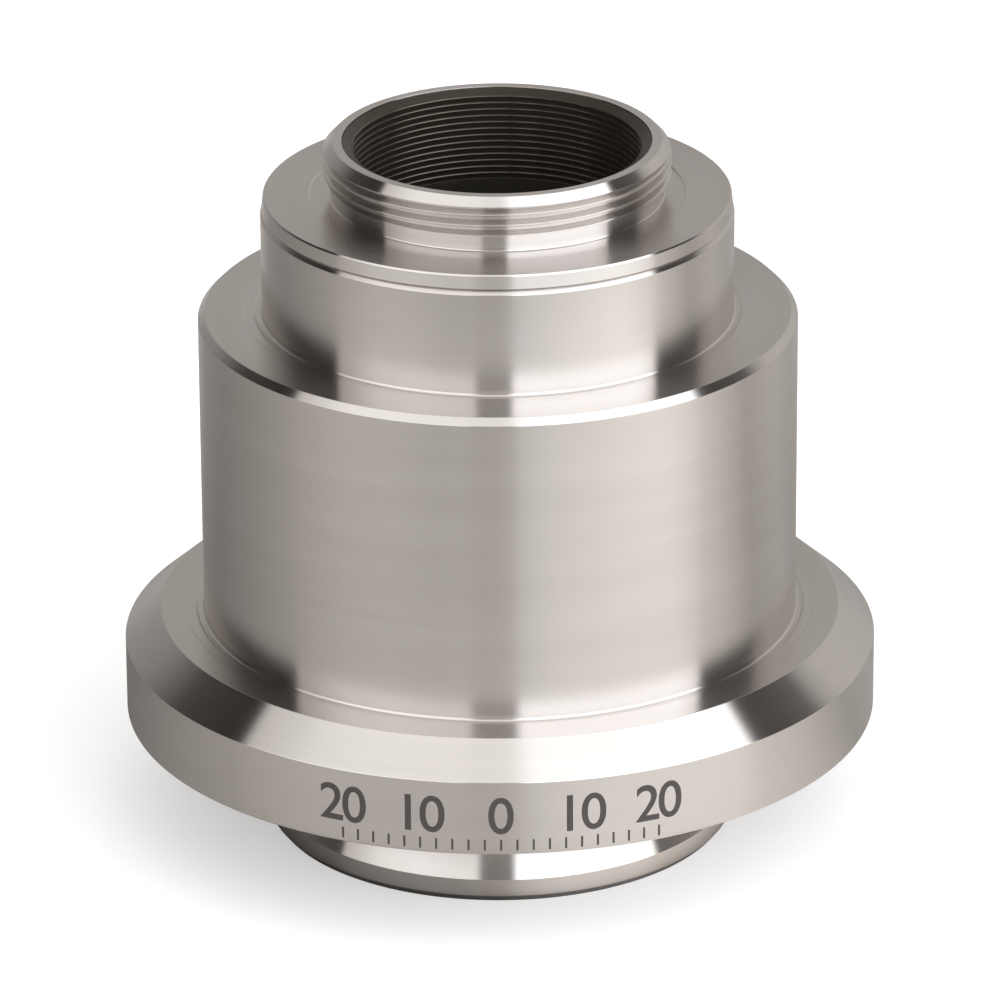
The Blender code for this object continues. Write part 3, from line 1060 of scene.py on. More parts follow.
class DialMarks(NodeTool):
    """Copies of one tick, turned round the axis by equal steps."""

    def __init__(self, tick: bpy.types.Object, material: bpy.types.Material) -> None:
        """Build the group.

        Args:
            tick: Object of one tick at the front of the rim.
            material: Paint of the ticks.
        """
        super().__init__("dial marks")
        self.number("mark count", whole=True)
        self.number("step angle")
        nodes, count = self.nodes, self.value("mark count")
        points = nodes.add("GeometryNodeMeshLine", {"Count": count, "Offset": (0.0, 0.0, 0.0)})
        source = nodes.add("GeometryNodeObjectInfo", {"Object": tick})
        last = nodes.add("ShaderNodeMath", {0: count, 1: 1.0}, operation="SUBTRACT")
        middle = nodes.add("ShaderNodeMath", {0: last, 1: 2.0}, operation="DIVIDE")
        index = nodes.add("GeometryNodeInputIndex")
        offset = nodes.add("ShaderNodeMath", {0: index, 1: middle}, operation="SUBTRACT")
        angle = nodes.add("ShaderNodeMath", {0: offset, 1: self.value("step angle")}, operation="MULTIPLY")
        copies = nodes.add(
            "GeometryNodeInstanceOnPoints",
            {
                "Points": points.outputs["Mesh"],
                "Instance": source.outputs["Geometry"],
                "Rotation": nodes.add("ShaderNodeCombineXYZ", {"Z": angle}),
            },
        )
        self.close(copies.outputs[0], material)


class HelicalThread(NodeTool):
    """Outside of a threaded nose: a helical V groove that both end cones cut off.

    A flat grid is bent round the axis. Across one pitch the groove's flank is mostly straight, and
    a small share of a smooth step rounds the crest and the root.
    """

    SIZES = (
        "crest radius", "thread depth", "thread pitch", "start angle", "low height", "high height",
        "neck radius", "neck slope", "rim radius", "rim slope", "thread end",
    )
    ROUND_FLANK = (0.08, 0.78)
    STRAIGHT_FLANK = (0.1, 0.76)
    ROUND_SHARE = 0.15
    FADE_PER_MM = 4.0
    BLEND_MM = 0.02
    WELD = 1e-6

    def __init__(self, columns: int, rows: int, material: bpy.types.Material) -> None:
        """Build the group.

        Args:
            columns: Faces round the nose.
            rows: Faces up the nose.
            material: Finish of the thread.
        """
        super().__init__("helical thread")
        for name in self.SIZES:
            self.number(name)
        nodes, value = self.nodes, self.value
        grid = nodes.add(
            "GeometryNodeMeshGrid",
            {"Size X": 1.0, "Size Y": 1.0, "Vertices X": columns + 1, "Vertices Y": rows + 1},
        )
        spot = nodes.add("ShaderNodeSeparateXYZ", {0: nodes.add("GeometryNodeInputPosition")})
        around = nodes.add("ShaderNodeMath", {0: spot.outputs["X"], 1: 0.5}, operation="ADD")
        share = nodes.add("ShaderNodeMath", {0: spot.outputs["Y"], 1: 0.5}, operation="ADD")
        low, high = value("low height"), value("high height")
        span = nodes.add("ShaderNodeMath", {0: high, 1: low}, operation="SUBTRACT")
        height = nodes.add("ShaderNodeMath", {0: share, 1: span, 2: low}, operation="MULTIPLY_ADD")
        thread = self.thread_radius(around, height)
        cones = self.cone_radius(height)
        radius = nodes.add("ShaderNodeMath", {0: thread, 1: cones, 2: self.BLEND_MM}, operation="SMOOTH_MIN")
        bent = self.bend(grid, around, height, radius)
        welded = nodes.add("GeometryNodeMergeByDistance", {"Geometry": bent, "Distance": self.WELD})
        smooth = nodes.add("GeometryNodeSetShadeSmooth", {"Geometry": welded})
        self.close(smooth.outputs[0], material)

    def thread_radius(self, around: bpy.types.Node, height: bpy.types.Node) -> bpy.types.Node:
        """Radius of the thread alone, which fades out at its upper end.

        Args:
            around: Share of a full turn.
            height: Height in millimetres.

        Returns:
            The node that gives the radius.
        """
        nodes, value = self.nodes, self.value
        turns = nodes.add("ShaderNodeMath", {0: height, 1: value("thread pitch")}, operation="DIVIDE")
        lead = nodes.add("ShaderNodeMath", {0: around, 1: value("start angle")}, operation="SUBTRACT")
        phase = nodes.add("ShaderNodeMath", {0: turns, 1: lead}, operation="SUBTRACT")
        share = nodes.add("ShaderNodeMath", {0: phase}, operation="FRACT")
        centred = nodes.add("ShaderNodeMath", {0: share, 1: 2.0, 2: -1.0}, operation="MULTIPLY_ADD")
        wave = nodes.add("ShaderNodeMath", {0: centred}, operation="ABSOLUTE")
        smooth = nodes.add(
            "ShaderNodeMapRange",
            {"Value": wave, "From Min": self.ROUND_FLANK[0], "From Max": self.ROUND_FLANK[1]},
            interpolation_type="SMOOTHSTEP",
        )
        straight = nodes.add(
            "ShaderNodeMapRange",
            {"Value": wave, "From Min": self.STRAIGHT_FLANK[0], "From Max": self.STRAIGHT_FLANK[1]},
        )
        rest = nodes.add("ShaderNodeMath", {0: straight, 1: 1.0 - self.ROUND_SHARE}, operation="MULTIPLY")
        groove = nodes.add(
            "ShaderNodeMath", {0: smooth, 1: self.ROUND_SHARE, 2: rest}, operation="MULTIPLY_ADD"
        )
        left = nodes.add("ShaderNodeMath", {0: value("thread end"), 1: height}, operation="SUBTRACT")
        fade = nodes.add(
            "ShaderNodeMath", {0: left, 1: self.FADE_PER_MM}, operation="MULTIPLY", use_clamp=True
        )
        depth = nodes.add("ShaderNodeMath", {0: fade, 1: value("thread depth")}, operation="MULTIPLY")
        sunk = nodes.add("ShaderNodeMath", {0: groove, 1: depth}, operation="MULTIPLY")
        return nodes.add("ShaderNodeMath", {0: value("crest radius"), 1: sunk}, operation="SUBTRACT")

    def cone_radius(self, height: bpy.types.Node) -> bpy.types.Node:
        """Radius that the neck's shoulder and the nose's chamfer leave.

        Args:
            height: Height in millimetres.

        Returns:
            The node that gives the radius.
        """
        nodes, value = self.nodes, self.value
        above = nodes.add("ShaderNodeMath", {0: height, 1: value("low height")}, operation="SUBTRACT")
        below = nodes.add("ShaderNodeMath", {0: value("high height"), 1: height}, operation="SUBTRACT")
        shoulder = nodes.add(
            "ShaderNodeMath",
            {0: above, 1: value("neck slope"), 2: value("neck radius")},
            operation="MULTIPLY_ADD",
        )
        chamfer = nodes.add(
            "ShaderNodeMath",
            {0: below, 1: value("rim slope"), 2: value("rim radius")},
            operation="MULTIPLY_ADD",
        )
        return nodes.add(
            "ShaderNodeMath", {0: shoulder, 1: chamfer, 2: self.BLEND_MM}, operation="SMOOTH_MIN"
        )

    def bend(
        self, grid: bpy.types.Node, around: bpy.types.Node, height: bpy.types.Node, radius: bpy.types.Node
    ) -> bpy.types.Node:
        """Wrap the grid round the axis, and store the turning UVs on it.

        Args:
            grid: Flat grid.
            around: Share of a full turn.
            height: Height in millimetres.
            radius: Radius in millimetres.

        Returns:
            The node that gives the bent grid.
        """
        nodes = self.nodes
        reach = nodes.add("ShaderNodeMath", {0: radius, 1: MM}, operation="MULTIPLY")
        angle = nodes.add("ShaderNodeMath", {0: around, 1: math.tau}, operation="MULTIPLY")
        cosine = nodes.add("ShaderNodeMath", {0: angle}, operation="COSINE")
        sine = nodes.add("ShaderNodeMath", {0: angle}, operation="SINE")
        place = nodes.add(
            "ShaderNodeCombineXYZ",
            {
                "X": nodes.add("ShaderNodeMath", {0: reach, 1: cosine}, operation="MULTIPLY"),
                "Y": nodes.add("ShaderNodeMath", {0: reach, 1: sine}, operation="MULTIPLY"),
                "Z": nodes.add("ShaderNodeMath", {0: height, 1: MM}, operation="MULTIPLY"),
            },
        )
        travel = nodes.add("ShaderNodeMath", {0: height, 1: UV_SPAN_MM}, operation="DIVIDE")
        stored = nodes.add(
            "GeometryNodeStoreNamedAttribute",
            {
                "Geometry": grid.outputs["Mesh"],
                "Name": UV_NAME,
                "Value": nodes.add("ShaderNodeCombineXYZ", {"X": around, "Y": travel}),
            },
            data_type="FLOAT2",
            domain="CORNER",
        )
        return nodes.add("GeometryNodeSetPosition", {"Geometry": stored, "Position": place})


# Sub-assemblies


@dataclass
class MountBody:
    """One-piece steel body: dovetail foot, bevelled flange, main cylinder and collar."""

    foot_radius: float = 17.4
    foot_chamfer: float = 0.45
    foot_chamfer_height: float = 0.55
    band_top: float = 1.85
    neck_radius: float = 15.3
    neck_bottom: float = 6.75
    flange_bottom: float = 8.85
    flange_radius: float = 27.88
    rim_top: float = 14.5
    flange_top: float = 16.8
    flange_top_radius: float = 25.2
    body_radius: float = 22.0
    body_top: float = 40.05
    body_chamfer: float = 0.5
    collar_radius: float = 17.3
    collar_top: float = 47.97
    collar_chamfer: float = 0.33
    bore_radius: float = 14.5
    shoulder: float = 10.205
    entry_radius: float = 12.9
    mouth_chamfer: float = 0.5
    # Edge breaks, from the crispest to the softest.
    seam_edge: float = 0.04
    edge: float = 0.07
    soft_edge: float = 0.1
    bore_edge: float = 0.15
    rim_edge: float = 0.2
    cone_fillet: float = 0.3
    neck_fillet: float = 0.4
    # Round each inner corner the tool leaves a shallow step, a hair groove and a small fillet.
    root_fillet: float = 0.5
    relief_width: float = 1.3
    relief_depth: float = 0.02
    relief_ramp: float = 0.06
    groove_outer: float = 0.64
    groove_inner: float = 0.44
    groove_depth: float = 0.06
    groove_edge: float = 0.02
    hole_countersink: float = 0.3
    hole_overrun: float = 1.0

    def outline(self) -> Outline:
        """Section of the body.

        Returns:
            The outline, with a shallow turned step round each inner corner.
        """
        edge, soft = self.edge, self.soft_edge
        return Outline(
            [
                Corner(self.foot_radius - self.foot_chamfer, 0.0, edge),
                Corner(self.foot_radius, self.foot_chamfer_height, edge),
                Corner(self.foot_radius, self.band_top, edge),
                Corner(self.neck_radius, self.neck_bottom, self.cone_fillet),
                Corner(self.neck_radius, self.flange_bottom, self.neck_fillet),
                Corner(self.flange_radius, self.flange_bottom, self.rim_edge),
                Corner(self.flange_radius, self.rim_top, soft),
                Corner(self.flange_top_radius, self.flange_top, soft),
                *self.inner_corner(self.body_radius, self.flange_top),
                Corner(self.body_radius, self.body_top - self.body_chamfer, edge),
                Corner(self.body_radius - self.body_chamfer, self.body_top, edge),
                *self.inner_corner(self.collar_radius, self.body_top),
                Corner(self.collar_radius, self.collar_top - self.collar_chamfer, edge),
                Corner(self.collar_radius - self.collar_chamfer, self.collar_top, self.seam_edge),
                Corner(self.bore_radius, self.collar_top, self.bore_edge),
                Corner(self.bore_radius, self.shoulder, soft),
                Corner(self.entry_radius, self.shoulder, soft),
                Corner(self.entry_radius, self.mouth_chamfer, edge),
                Corner(self.entry_radius + self.mouth_chamfer, 0.0, edge),
            ]
        )

    def inner_corner(self, wall: float, floor: float) -> list[Corner]:
        """Fillet at the foot of a wall, in a shallow turned step.

        Args:
            wall: Radius of the wall.
            floor: Height of the face that it stands on.

        Returns:
            Corners from the face inwards to the wall.
        """
        step = wall + self.relief_width
        sunk = floor - self.relief_depth
        groove = sunk - self.groove_depth
        return [
            Corner(step + self.relief_ramp, floor, self.soft_edge),
            Corner(step, sunk, self.soft_edge),
            Corner(wall + self.groove_outer, sunk, self.groove_edge),
            Corner(wall + self.groove_inner, groove),
            Corner(wall, groove, self.root_fillet),
        ]

    def screw_hole(self, screws: "SetScrews", azimuth: float) -> bpy.types.Mesh:
        """Cutter for one set screw's hole, with a small countersink.

        Args:
            screws: The set screws.
            azimuth: Direction of the hole in degrees.

        Returns:
            The cutter's mesh.
        """
        start, end = self.bore_radius - self.hole_overrun, self.collar_radius + self.hole_overrun
        radius, wider = screws.hole_radius, screws.hole_radius + self.hole_countersink
        sink = self.collar_radius - screws.sink_depth
        outline = Outline(
            [
                Corner(0.0, start),
                Corner(radius, start),
                Corner(radius, sink),
                Corner(wider, sink + self.hole_countersink),
                Corner(wider, end),
                Corner(0.0, end),
            ],
            closed=False,
        )
        mesh = Lathe.mesh("hole", outline, Turn.SMALL.value)
        mesh.transform(radial_place(azimuth, screws.height))
        return mesh

    def build(self, finishes: Finishes, screws: "SetScrews") -> None:
        """Make the body.

        Args:
            finishes: Finishes to use.
            screws: Set screws that its holes are for.
        """
        turned_piece(
            "steel_body",
            self.outline(),
            finishes.body_steel,
            Body.MOUNT,
            "turned_steel",
            Turn.FINE,
            ["mount_body"],
            [self.screw_hole(screws, azimuth) for azimuth in screws.azimuths],
        )


def radial_place(azimuth: float, height: float) -> Matrix:
    """Transform that lays an upright piece so that it points away from the axis.

    Args:
        azimuth: Direction in degrees.
        height: Height in millimetres.

    Returns:
        The transform.
    """
    turn = Matrix.Rotation(math.radians(azimuth), 4, "Z") @ Matrix.Rotation(math.pi / 2.0, 4, "Y")
    return Matrix.Translation((0.0, 0.0, height * MM)) @ turn


@dataclass
class SetScrews:
    """Two socket set screws behind the collar."""

    azimuths: tuple[float, ...] = (45.0, 135.0)
    height: float = 44.05
    radius: float = 1.48
    hole_radius: float = 1.65
    sink_depth: float = 0.25
    inner_end: float = 14.5
    outer_end: float = 17.0
    point: float = 0.35
    across_flats: float = 1.5
    socket_depth: float = 1.1
    socket_overrun: float = 0.5
    thread_pitch: float = 0.5
    thread_depth: float = 0.25
    thread_edge: float = 0.03
    plain_end: float = 0.1
    point_edge: float = 0.04
    head_step: float = 0.12
    head_edge: float = 0.06

    def outline(self) -> Outline:
        """Section of a screw, with its thread as fine rings.

        Returns:
            The outline, open on the axis.
        """
        root = self.radius - self.thread_depth
        level = self.inner_end + self.point
        corners = [
            Corner(0.0, self.inner_end),
            Corner(self.radius - self.point, self.inner_end, self.point_edge),
            Corner(root, level),
        ]
        while level + self.thread_pitch < self.outer_end - self.plain_end:
            corners.append(Corner(self.radius, level + self.thread_pitch / 2.0, self.thread_edge))
            corners.append(Corner(root, level + self.thread_pitch, self.thread_edge))
            level += self.thread_pitch
        corners.append(Corner(self.radius - self.head_step, self.outer_end, self.head_edge))
        corners.append(Corner(0.0, self.outer_end))
        return Outline(corners, closed=False)

    def key_cutter(self) -> bpy.types.Mesh:
        """Cutter for the hexagon socket.

        Returns:
            The cutter's mesh.
        """
        radius = self.across_flats / math.sqrt(3.0)
        bottom, top = self.outer_end - self.socket_depth, self.outer_end + self.socket_overrun
        corners = [Corner(0.0, bottom), Corner(radius, bottom), Corner(radius, top), Corner(0.0, top)]
        return Lathe.mesh("key", Outline(corners, closed=False), Turn.HEXAGON.value)

    def build(self, finishes: Finishes) -> None:
        """Make both screws.

        Args:
            finishes: Finishes to use.
        """
        outline = self.outline()
        steel = finishes.screw_steel.material()
        for number, azimuth in enumerate(self.azimuths, start=1):
            name = f"set_screw_{number}"
            mesh = cut_mesh(name, Lathe.mesh("screw", outline, Turn.SMALL.value), [self.key_cutter()])
            Lathe.dress(mesh, outline)
            mesh.transform(radial_place(azimuth, self.height))
            place(name, mesh, steel, Body.MOUNT, "screw_steel", [f"focus_{name}"])


@dataclass
class RimScale:
    """Generic scale of plain numbers on the flange rim."""

    radius: float = 27.892
    number_height: float = 2.9
    # Height of a digit as a share of the font's size, and how much its strokes are thickened.
    digit_share: float = 0.72
    stroke_gain: float = 0.03
    letter_spacing: float = 0.88
    curve_steps: int = 6
    number_level: float = 10.55
    numbers: tuple[tuple[str, float], ...] = (
        ("20", -24.0), ("10", -12.0), ("0", 0.0), ("10", 12.0), ("20", 24.0),
    )
    tick_width: float = 0.16
    tick_height: float = 0.85
    tick_top: float = 10.05
    tick_step: float = 2.4
    tick_count: int = 21
    slice_width: float = 0.25

    def bend(self, mesh: bpy.types.Mesh, azimuth: float, level: float) -> None:
        """Wrap flat artwork, drawn in X and Y in millimetres, round the rim.

        Args:
            mesh: Mesh to bend in place.
            azimuth: Angle from the front in degrees, positive to the right.
            level: Height of its baseline.
        """
        shape = bmesh.new()
        shape.from_mesh(mesh)
        xs = [vert.co.x for vert in shape.verts]
        cut = math.floor(min(xs) / self.slice_width) * self.slice_width
        while cut < max(xs):
            geometry = shape.verts[:] + shape.edges[:] + shape.faces[:]
            bmesh.ops.bisect_plane(shape, geom=geometry, plane_co=(cut, 0.0, 0.0), plane_no=(1.0, 0.0, 0.0))
            cut += self.slice_width
        for vert in shape.verts:
            angle = math.radians(azimuth) + vert.co.x / self.radius - math.pi / 2.0
            x, y = self.radius * math.cos(angle) * MM, self.radius * math.sin(angle) * MM
            vert.co = Vector((x, y, (level + vert.co.y) * MM))
        for face in shape.faces:
            centre = face.calc_center_median()
            if face.normal.dot(Vector((centre.x, centre.y, 0.0))) < 0.0:
                face.normal_flip()
        shape.to_mesh(mesh)
        shape.free()

    def number_mesh(self, text: str) -> bpy.types.Mesh:
        """Draw a plain number, centred, as flat faces.

        Args:
            text: The digits.

        Returns:
            A mesh in millimetres on the XY plane.
        """
        curve = bpy.data.curves.new("digits", "FONT")
        curve.body = text
        curve.size = self.number_height / self.digit_share
        curve.offset = self.stroke_gain
        curve.space_character = self.letter_spacing
        curve.align_x = "CENTER"
        curve.resolution_u = self.curve_steps
        thing = bpy.data.objects.new("digits", curve)
        bpy.context.scene.collection.objects.link(thing)
        return evaluated_copy(thing, f"number_{text}")

    def build_numbers(self, paint: bpy.types.Material) -> None:
        """Make the row of numbers.

        Args:
            paint: Paint of the numbers.
        """
        joined = bmesh.new()
        for text, azimuth in self.numbers:
            digits = self.number_mesh(text)
            self.bend(digits, azimuth, self.number_level)
            joined.from_mesh(digits)
        mesh = bpy.data.meshes.new("rim_numbers")
        joined.to_mesh(mesh)
        joined.free()
        place("rim_numbers", mesh, paint, Body.MOUNT, None)

    def build_ticks(self, paint: bpy.types.Material) -> None:
        """Make the row of ticks under the numbers.

        Args:
            paint: Paint of the ticks.
        """
        half, low = self.tick_width / 2.0, -self.tick_height
        corners = [(-half, low, 0.0), (half, low, 0.0), (half, 0.0, 0.0), (-half, 0.0, 0.0)]
        flat = bpy.data.meshes.new("tick")
        flat.from_pydata(corners, [], [(0, 1, 2, 3)])
        self.bend(flat, 0.0, self.tick_top)
        tick = link_object("tick_source", flat)
        ticks = DialMarks(tick, paint).run(
            "rim_ticks", mark_count=self.tick_count, step_angle=math.radians(self.tick_step)
        )
        bpy.data.objects.remove(tick, do_unlink=True)
        place("rim_ticks", ticks, paint, Body.MOUNT, None)

    def build(self, finishes: Finishes) -> None:
        """Make the numbers and ticks.

        Args:
            finishes: Finishes to use.
        """
        paint = finishes.number_paint.material()
        self.build_numbers(paint)
        self.build_ticks(paint)


@dataclass
class CameraRing:
    """Disc with a threaded nose above and a plain stem below."""

    thread_radius: float = 12.7
    thread_pitch: float = 25.4 / 32.0
    thread_depth: float = 0.56
    thread_end: float = 52.6
    thread_rows: int = 230
    neck_radius: float = 12.08
    neck_taper: float = 0.06
    bore_radius: float = 11.29
    rim_radius: float = 12.0
    top: float = 53.15
    nose_chamfer_drop: float = 0.7
    disc_top: float = 49.12
    disc_bottom: float = 48.06
    disc_radius: float = 17.2
    rim_taper: float = 0.1
    rim_chamfer: float = 0.09
    rim_chamfer_height: float = 0.12
    neck_height: float = 1.2
    shoulder_slope: float = 8.0
    relief_radius: float = 13.75
    relief_depth: float = 0.1
    stem_radius: float = 12.4
    stem_bottom: float = 36.1
    crest_at_front: float = 51.18
    # The core under the threaded skin, a little inside it and below the rim.
    core_gap: float = 0.02
    core_start: float = 0.01
    core_drop: float = 0.1

    def outline(self) -> Outline:
        """Section of everything but the threaded outside of the nose.

        Returns:
            The outline, with a slim core where the thread sits.
        """
        relief = self.disc_top - self.relief_depth
        low = self.thread_low()
        core = self.neck_radius - self.core_gap
        rim = self.disc_radius - self.rim_taper
        return Outline(
            [
                Corner(self.bore_radius, self.stem_bottom, 0.1),
                Corner(self.stem_radius, self.stem_bottom, 0.15),
                Corner(self.stem_radius, self.disc_bottom, 0.1),
                Corner(self.disc_radius, self.disc_bottom, 0.03),
                Corner(rim, self.disc_top - self.rim_chamfer_height, 0.04),
                Corner(rim - self.rim_chamfer, self.disc_top, 0.05),
                Corner(self.relief_radius, self.disc_top, 0.06),
                Corner(self.relief_radius - self.relief_depth, relief, 0.08),
                Corner(self.neck_radius + self.neck_taper, relief, 0.13),
                Corner(self.neck_radius, low),
                Corner(core, low + self.core_start),
                Corner(core, self.top - self.core_drop),
                Corner(self.rim_radius, self.top, 0.02),
                Corner(self.bore_radius, self.top, 0.02),
            ]
        )

    def thread_low(self) -> float:
        """Height at which the threaded skin starts, on the neck."""
        return self.disc_top + self.neck_height

    def build(self, finishes: Finishes) -> None:
        """Make the ring and its thread.

        Args:
            finishes: Finishes to use.
        """
        steel = finishes.ring_steel
        turned_piece(
            "camera_ring_steel", self.outline(), steel, Body.HEAD, "ring_steel", Turn.FINE, ["camera_ring"]
        )
        # At the front the angle is three quarters of a turn, and crests are where the phase is a half.
        start = 0.75 - self.crest_at_front / self.thread_pitch + 0.5
        tool = HelicalThread(Turn.FINE.value, self.thread_rows, steel.material())
        mesh = tool.run(
            "camera_thread",
            crest_radius=self.thread_radius,
            thread_depth=self.thread_depth,
            thread_pitch=self.thread_pitch,
            start_angle=start,
            low_height=self.thread_low(),
            high_height=self.top,
            neck_radius=self.neck_radius,
            neck_slope=self.shoulder_slope,
            rim_radius=self.rim_radius,
            rim_slope=(self.thread_radius - self.rim_radius) / self.nose_chamfer_drop,
            thread_end=self.thread_end,
        )
        place("camera_thread", mesh, steel.material(), Body.HEAD, "ring_steel")


@dataclass
class RibbedTube:
    """Black tube with sharp ribs inside, against stray light."""

    name: str
    node: str
    body: Body
    bottom: float
    top: float
    outer: float
    crest: float
    ribs_top: float
    rib_depth: float
    rib_pitch: float
    rib_count: int
    lip: float = 0.0
    # Each rib is a saw tooth: a narrow ledge above its edge and a long slope below it.
    ledge: float = 0.08
    rib_back: float = 0.02
    edge_width: float = 0.045
    edge_proud: float = 0.005
    lip_height: float = 0.4
    lip_ramp: float = 0.2

    def build(self, finishes: Finishes) -> None:
        """Make the tube, its ribs and their rubbed edges, which carry a painted highlight.

        Args:
            finishes: Finishes to use.
        """
        turned_piece(
            self.name,
            self.tube_outline(),
            finishes.black_tube,
            self.body,
            "black_tube",
            Turn.PLAIN,
            [self.node],
        )
        self.stack(f"{self.name}_ribs", self.rib_outline(), finishes.black_tube, self.rib_count)
        self.stack(f"{self.name}_edges", self.edge_outline(), finishes.rubbed_edge_with_highlight, self.rib_count + 1)

    def lead_end(self) -> float:
        """Height at which the lead-in cone ends, one pitch above the first rib's edge."""
        return self.ribs_top - self.ledge + self.rib_pitch

    def tube_outline(self) -> Outline:
        """Section of the plain tube, with a lead-in cone above the ribs.

        Returns:
            The outline.
        """
        wall = self.crest + self.rib_depth + self.rib_back
        ribs_bottom = self.ribs_top - self.rib_count * self.rib_pitch
        lip_low = self.top - self.lip_height
        return Outline(
            [
                Corner(self.crest, self.bottom, 0.08),
                Corner(self.outer, self.bottom, 0.08),
                Corner(self.outer, lip_low - self.lip_ramp),
                Corner(self.outer + self.lip, lip_low),
                Corner(self.outer + self.lip, self.top, 0.02),
                Corner(self.crest, self.lead_end(), 0.02),
                Corner(wall, self.ribs_top - self.rib_back),
                Corner(wall, ribs_bottom + self.rib_back),
                Corner(self.crest, ribs_bottom, 0.03),
            ]
        )

    def rib_outline(self) -> Outline:
        """Section of the top rib.

        Returns:
            The outline.
        """
        root = self.crest + self.rib_depth
        low = self.ribs_top - self.rib_pitch
        return Outline(
            [
                Corner(root, low),
                Corner(root + self.rib_back, low),
                Corner(root + self.rib_back, self.ribs_top),
                Corner(root, self.ribs_top),
                Corner(self.crest, self.ribs_top - self.ledge, 0.02),
            ]
        )

    def edge_outline(self) -> Outline:
        """Section of the rubbed edge with its painted highlight, on the lead-in cone, which the ribs' edges
        repeat.

        Returns:
            The outline.
        """
        level, wide = self.lead_end(), self.edge_width
        return Outline(
            [
                Corner(self.crest + wide, level - wide),
                Corner(self.crest + wide, level + wide),
                Corner(self.crest + wide * 0.7, level + wide),
                Corner(self.crest - self.edge_proud, level, 0.01),
                Corner(self.crest - self.edge_proud, level - wide * 0.4),
            ]
        )

    def stack(self, name: str, outline: Outline, finish: Finish, count: int) -> None:
        """Stack copies of one ring down the bore, a rib's pitch apart.

        Args:
            name: Name of the piece.
            outline: Section of the top ring.
            finish: Finish of the rings.
            count: Number of rings.
        """
        mesh = Lathe.mesh("ring", outline, Turn.PLAIN.value)
        Lathe.dress(mesh, outline)
        source = link_object("ring_source", mesh)
        rings = RibStack(source, finish.material()).run(name, rib_count=count, rib_pitch=self.rib_pitch * MM)
        bpy.data.objects.remove(source, do_unlink=True)
        place(name, rings, finish.material(), self.body, "black_tube")


@dataclass
class FocusSleeve:
    """Ground sleeve with the friction washer and nut that hold the camera ring on it."""

    bore: float = 12.7
    outer: float = 14.2
    bottom: float = 39.3
    top: float = 47.9
    edge: float = 0.12
    washer_bottom: float = 38.6
    washer_height: float = 0.4
    washer_outer: float = 13.85
    washer_edge: float = 0.08
    nut_bottom: float = 36.5
    nut_height: float = 1.8
    nut_outer: float = 14.0
    nut_edge: float = 0.15
    slot_width: float = 1.4
    slot_depth: float = 0.5
    slot_overrun: float = 1.0

    def build(self, finishes: Finishes) -> None:
        """Make the three rings.

        Args:
            finishes: Finishes to use.
        """
        sleeve = Outline(ring_corners(self.bore, self.outer, self.bottom, self.top, self.edge))
        turned_piece(
            "ground_sleeve",
            sleeve,
            finishes.sleeve_steel,
            Body.SLIDER,
            "sleeve_steel",
            replaced=["focus_sleeve"],
        )
        low, high = self.washer_bottom, self.washer_bottom + self.washer_height
        washer = Outline(ring_corners(self.bore, self.washer_outer, low, high, self.washer_edge))
        turned_piece(
            "spring_washer",
            washer,
            finishes.spring_steel,
            Body.HEAD,
            "spring_steel",
            replaced=["friction_washer"],
        )
        low, high = self.nut_bottom, self.nut_bottom + self.nut_height
        nut = Outline(ring_corners(self.bore, self.nut_outer, low, high, self.nut_edge))
        slot = slot_cutter(self.nut_outer + self.slot_overrun, self.slot_width, low, self.slot_depth)
        turned_piece(
            "slotted_nut",
            nut,
            finishes.black_ring,
            Body.HEAD,
            "black_ring",
            replaced=["sleeve_nut"],
            cutters=[slot],
        )


@dataclass(frozen=True)
class LensShape:
    """One glass element: node, rim heights and the curve of each face (negative is hollow)."""

    node: str
    low: float
    high: float
    lower_curve: float
    upper_curve: float
    crown: bool


def node_heights(node: str) -> tuple[float, float]:
    """Lowest and highest point of a CAD node.

    Args:
        node: Name of the node.

    Returns:
        Both heights in millimetres.
    """
    low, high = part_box(node)
    return low.z / MM, high.z / MM


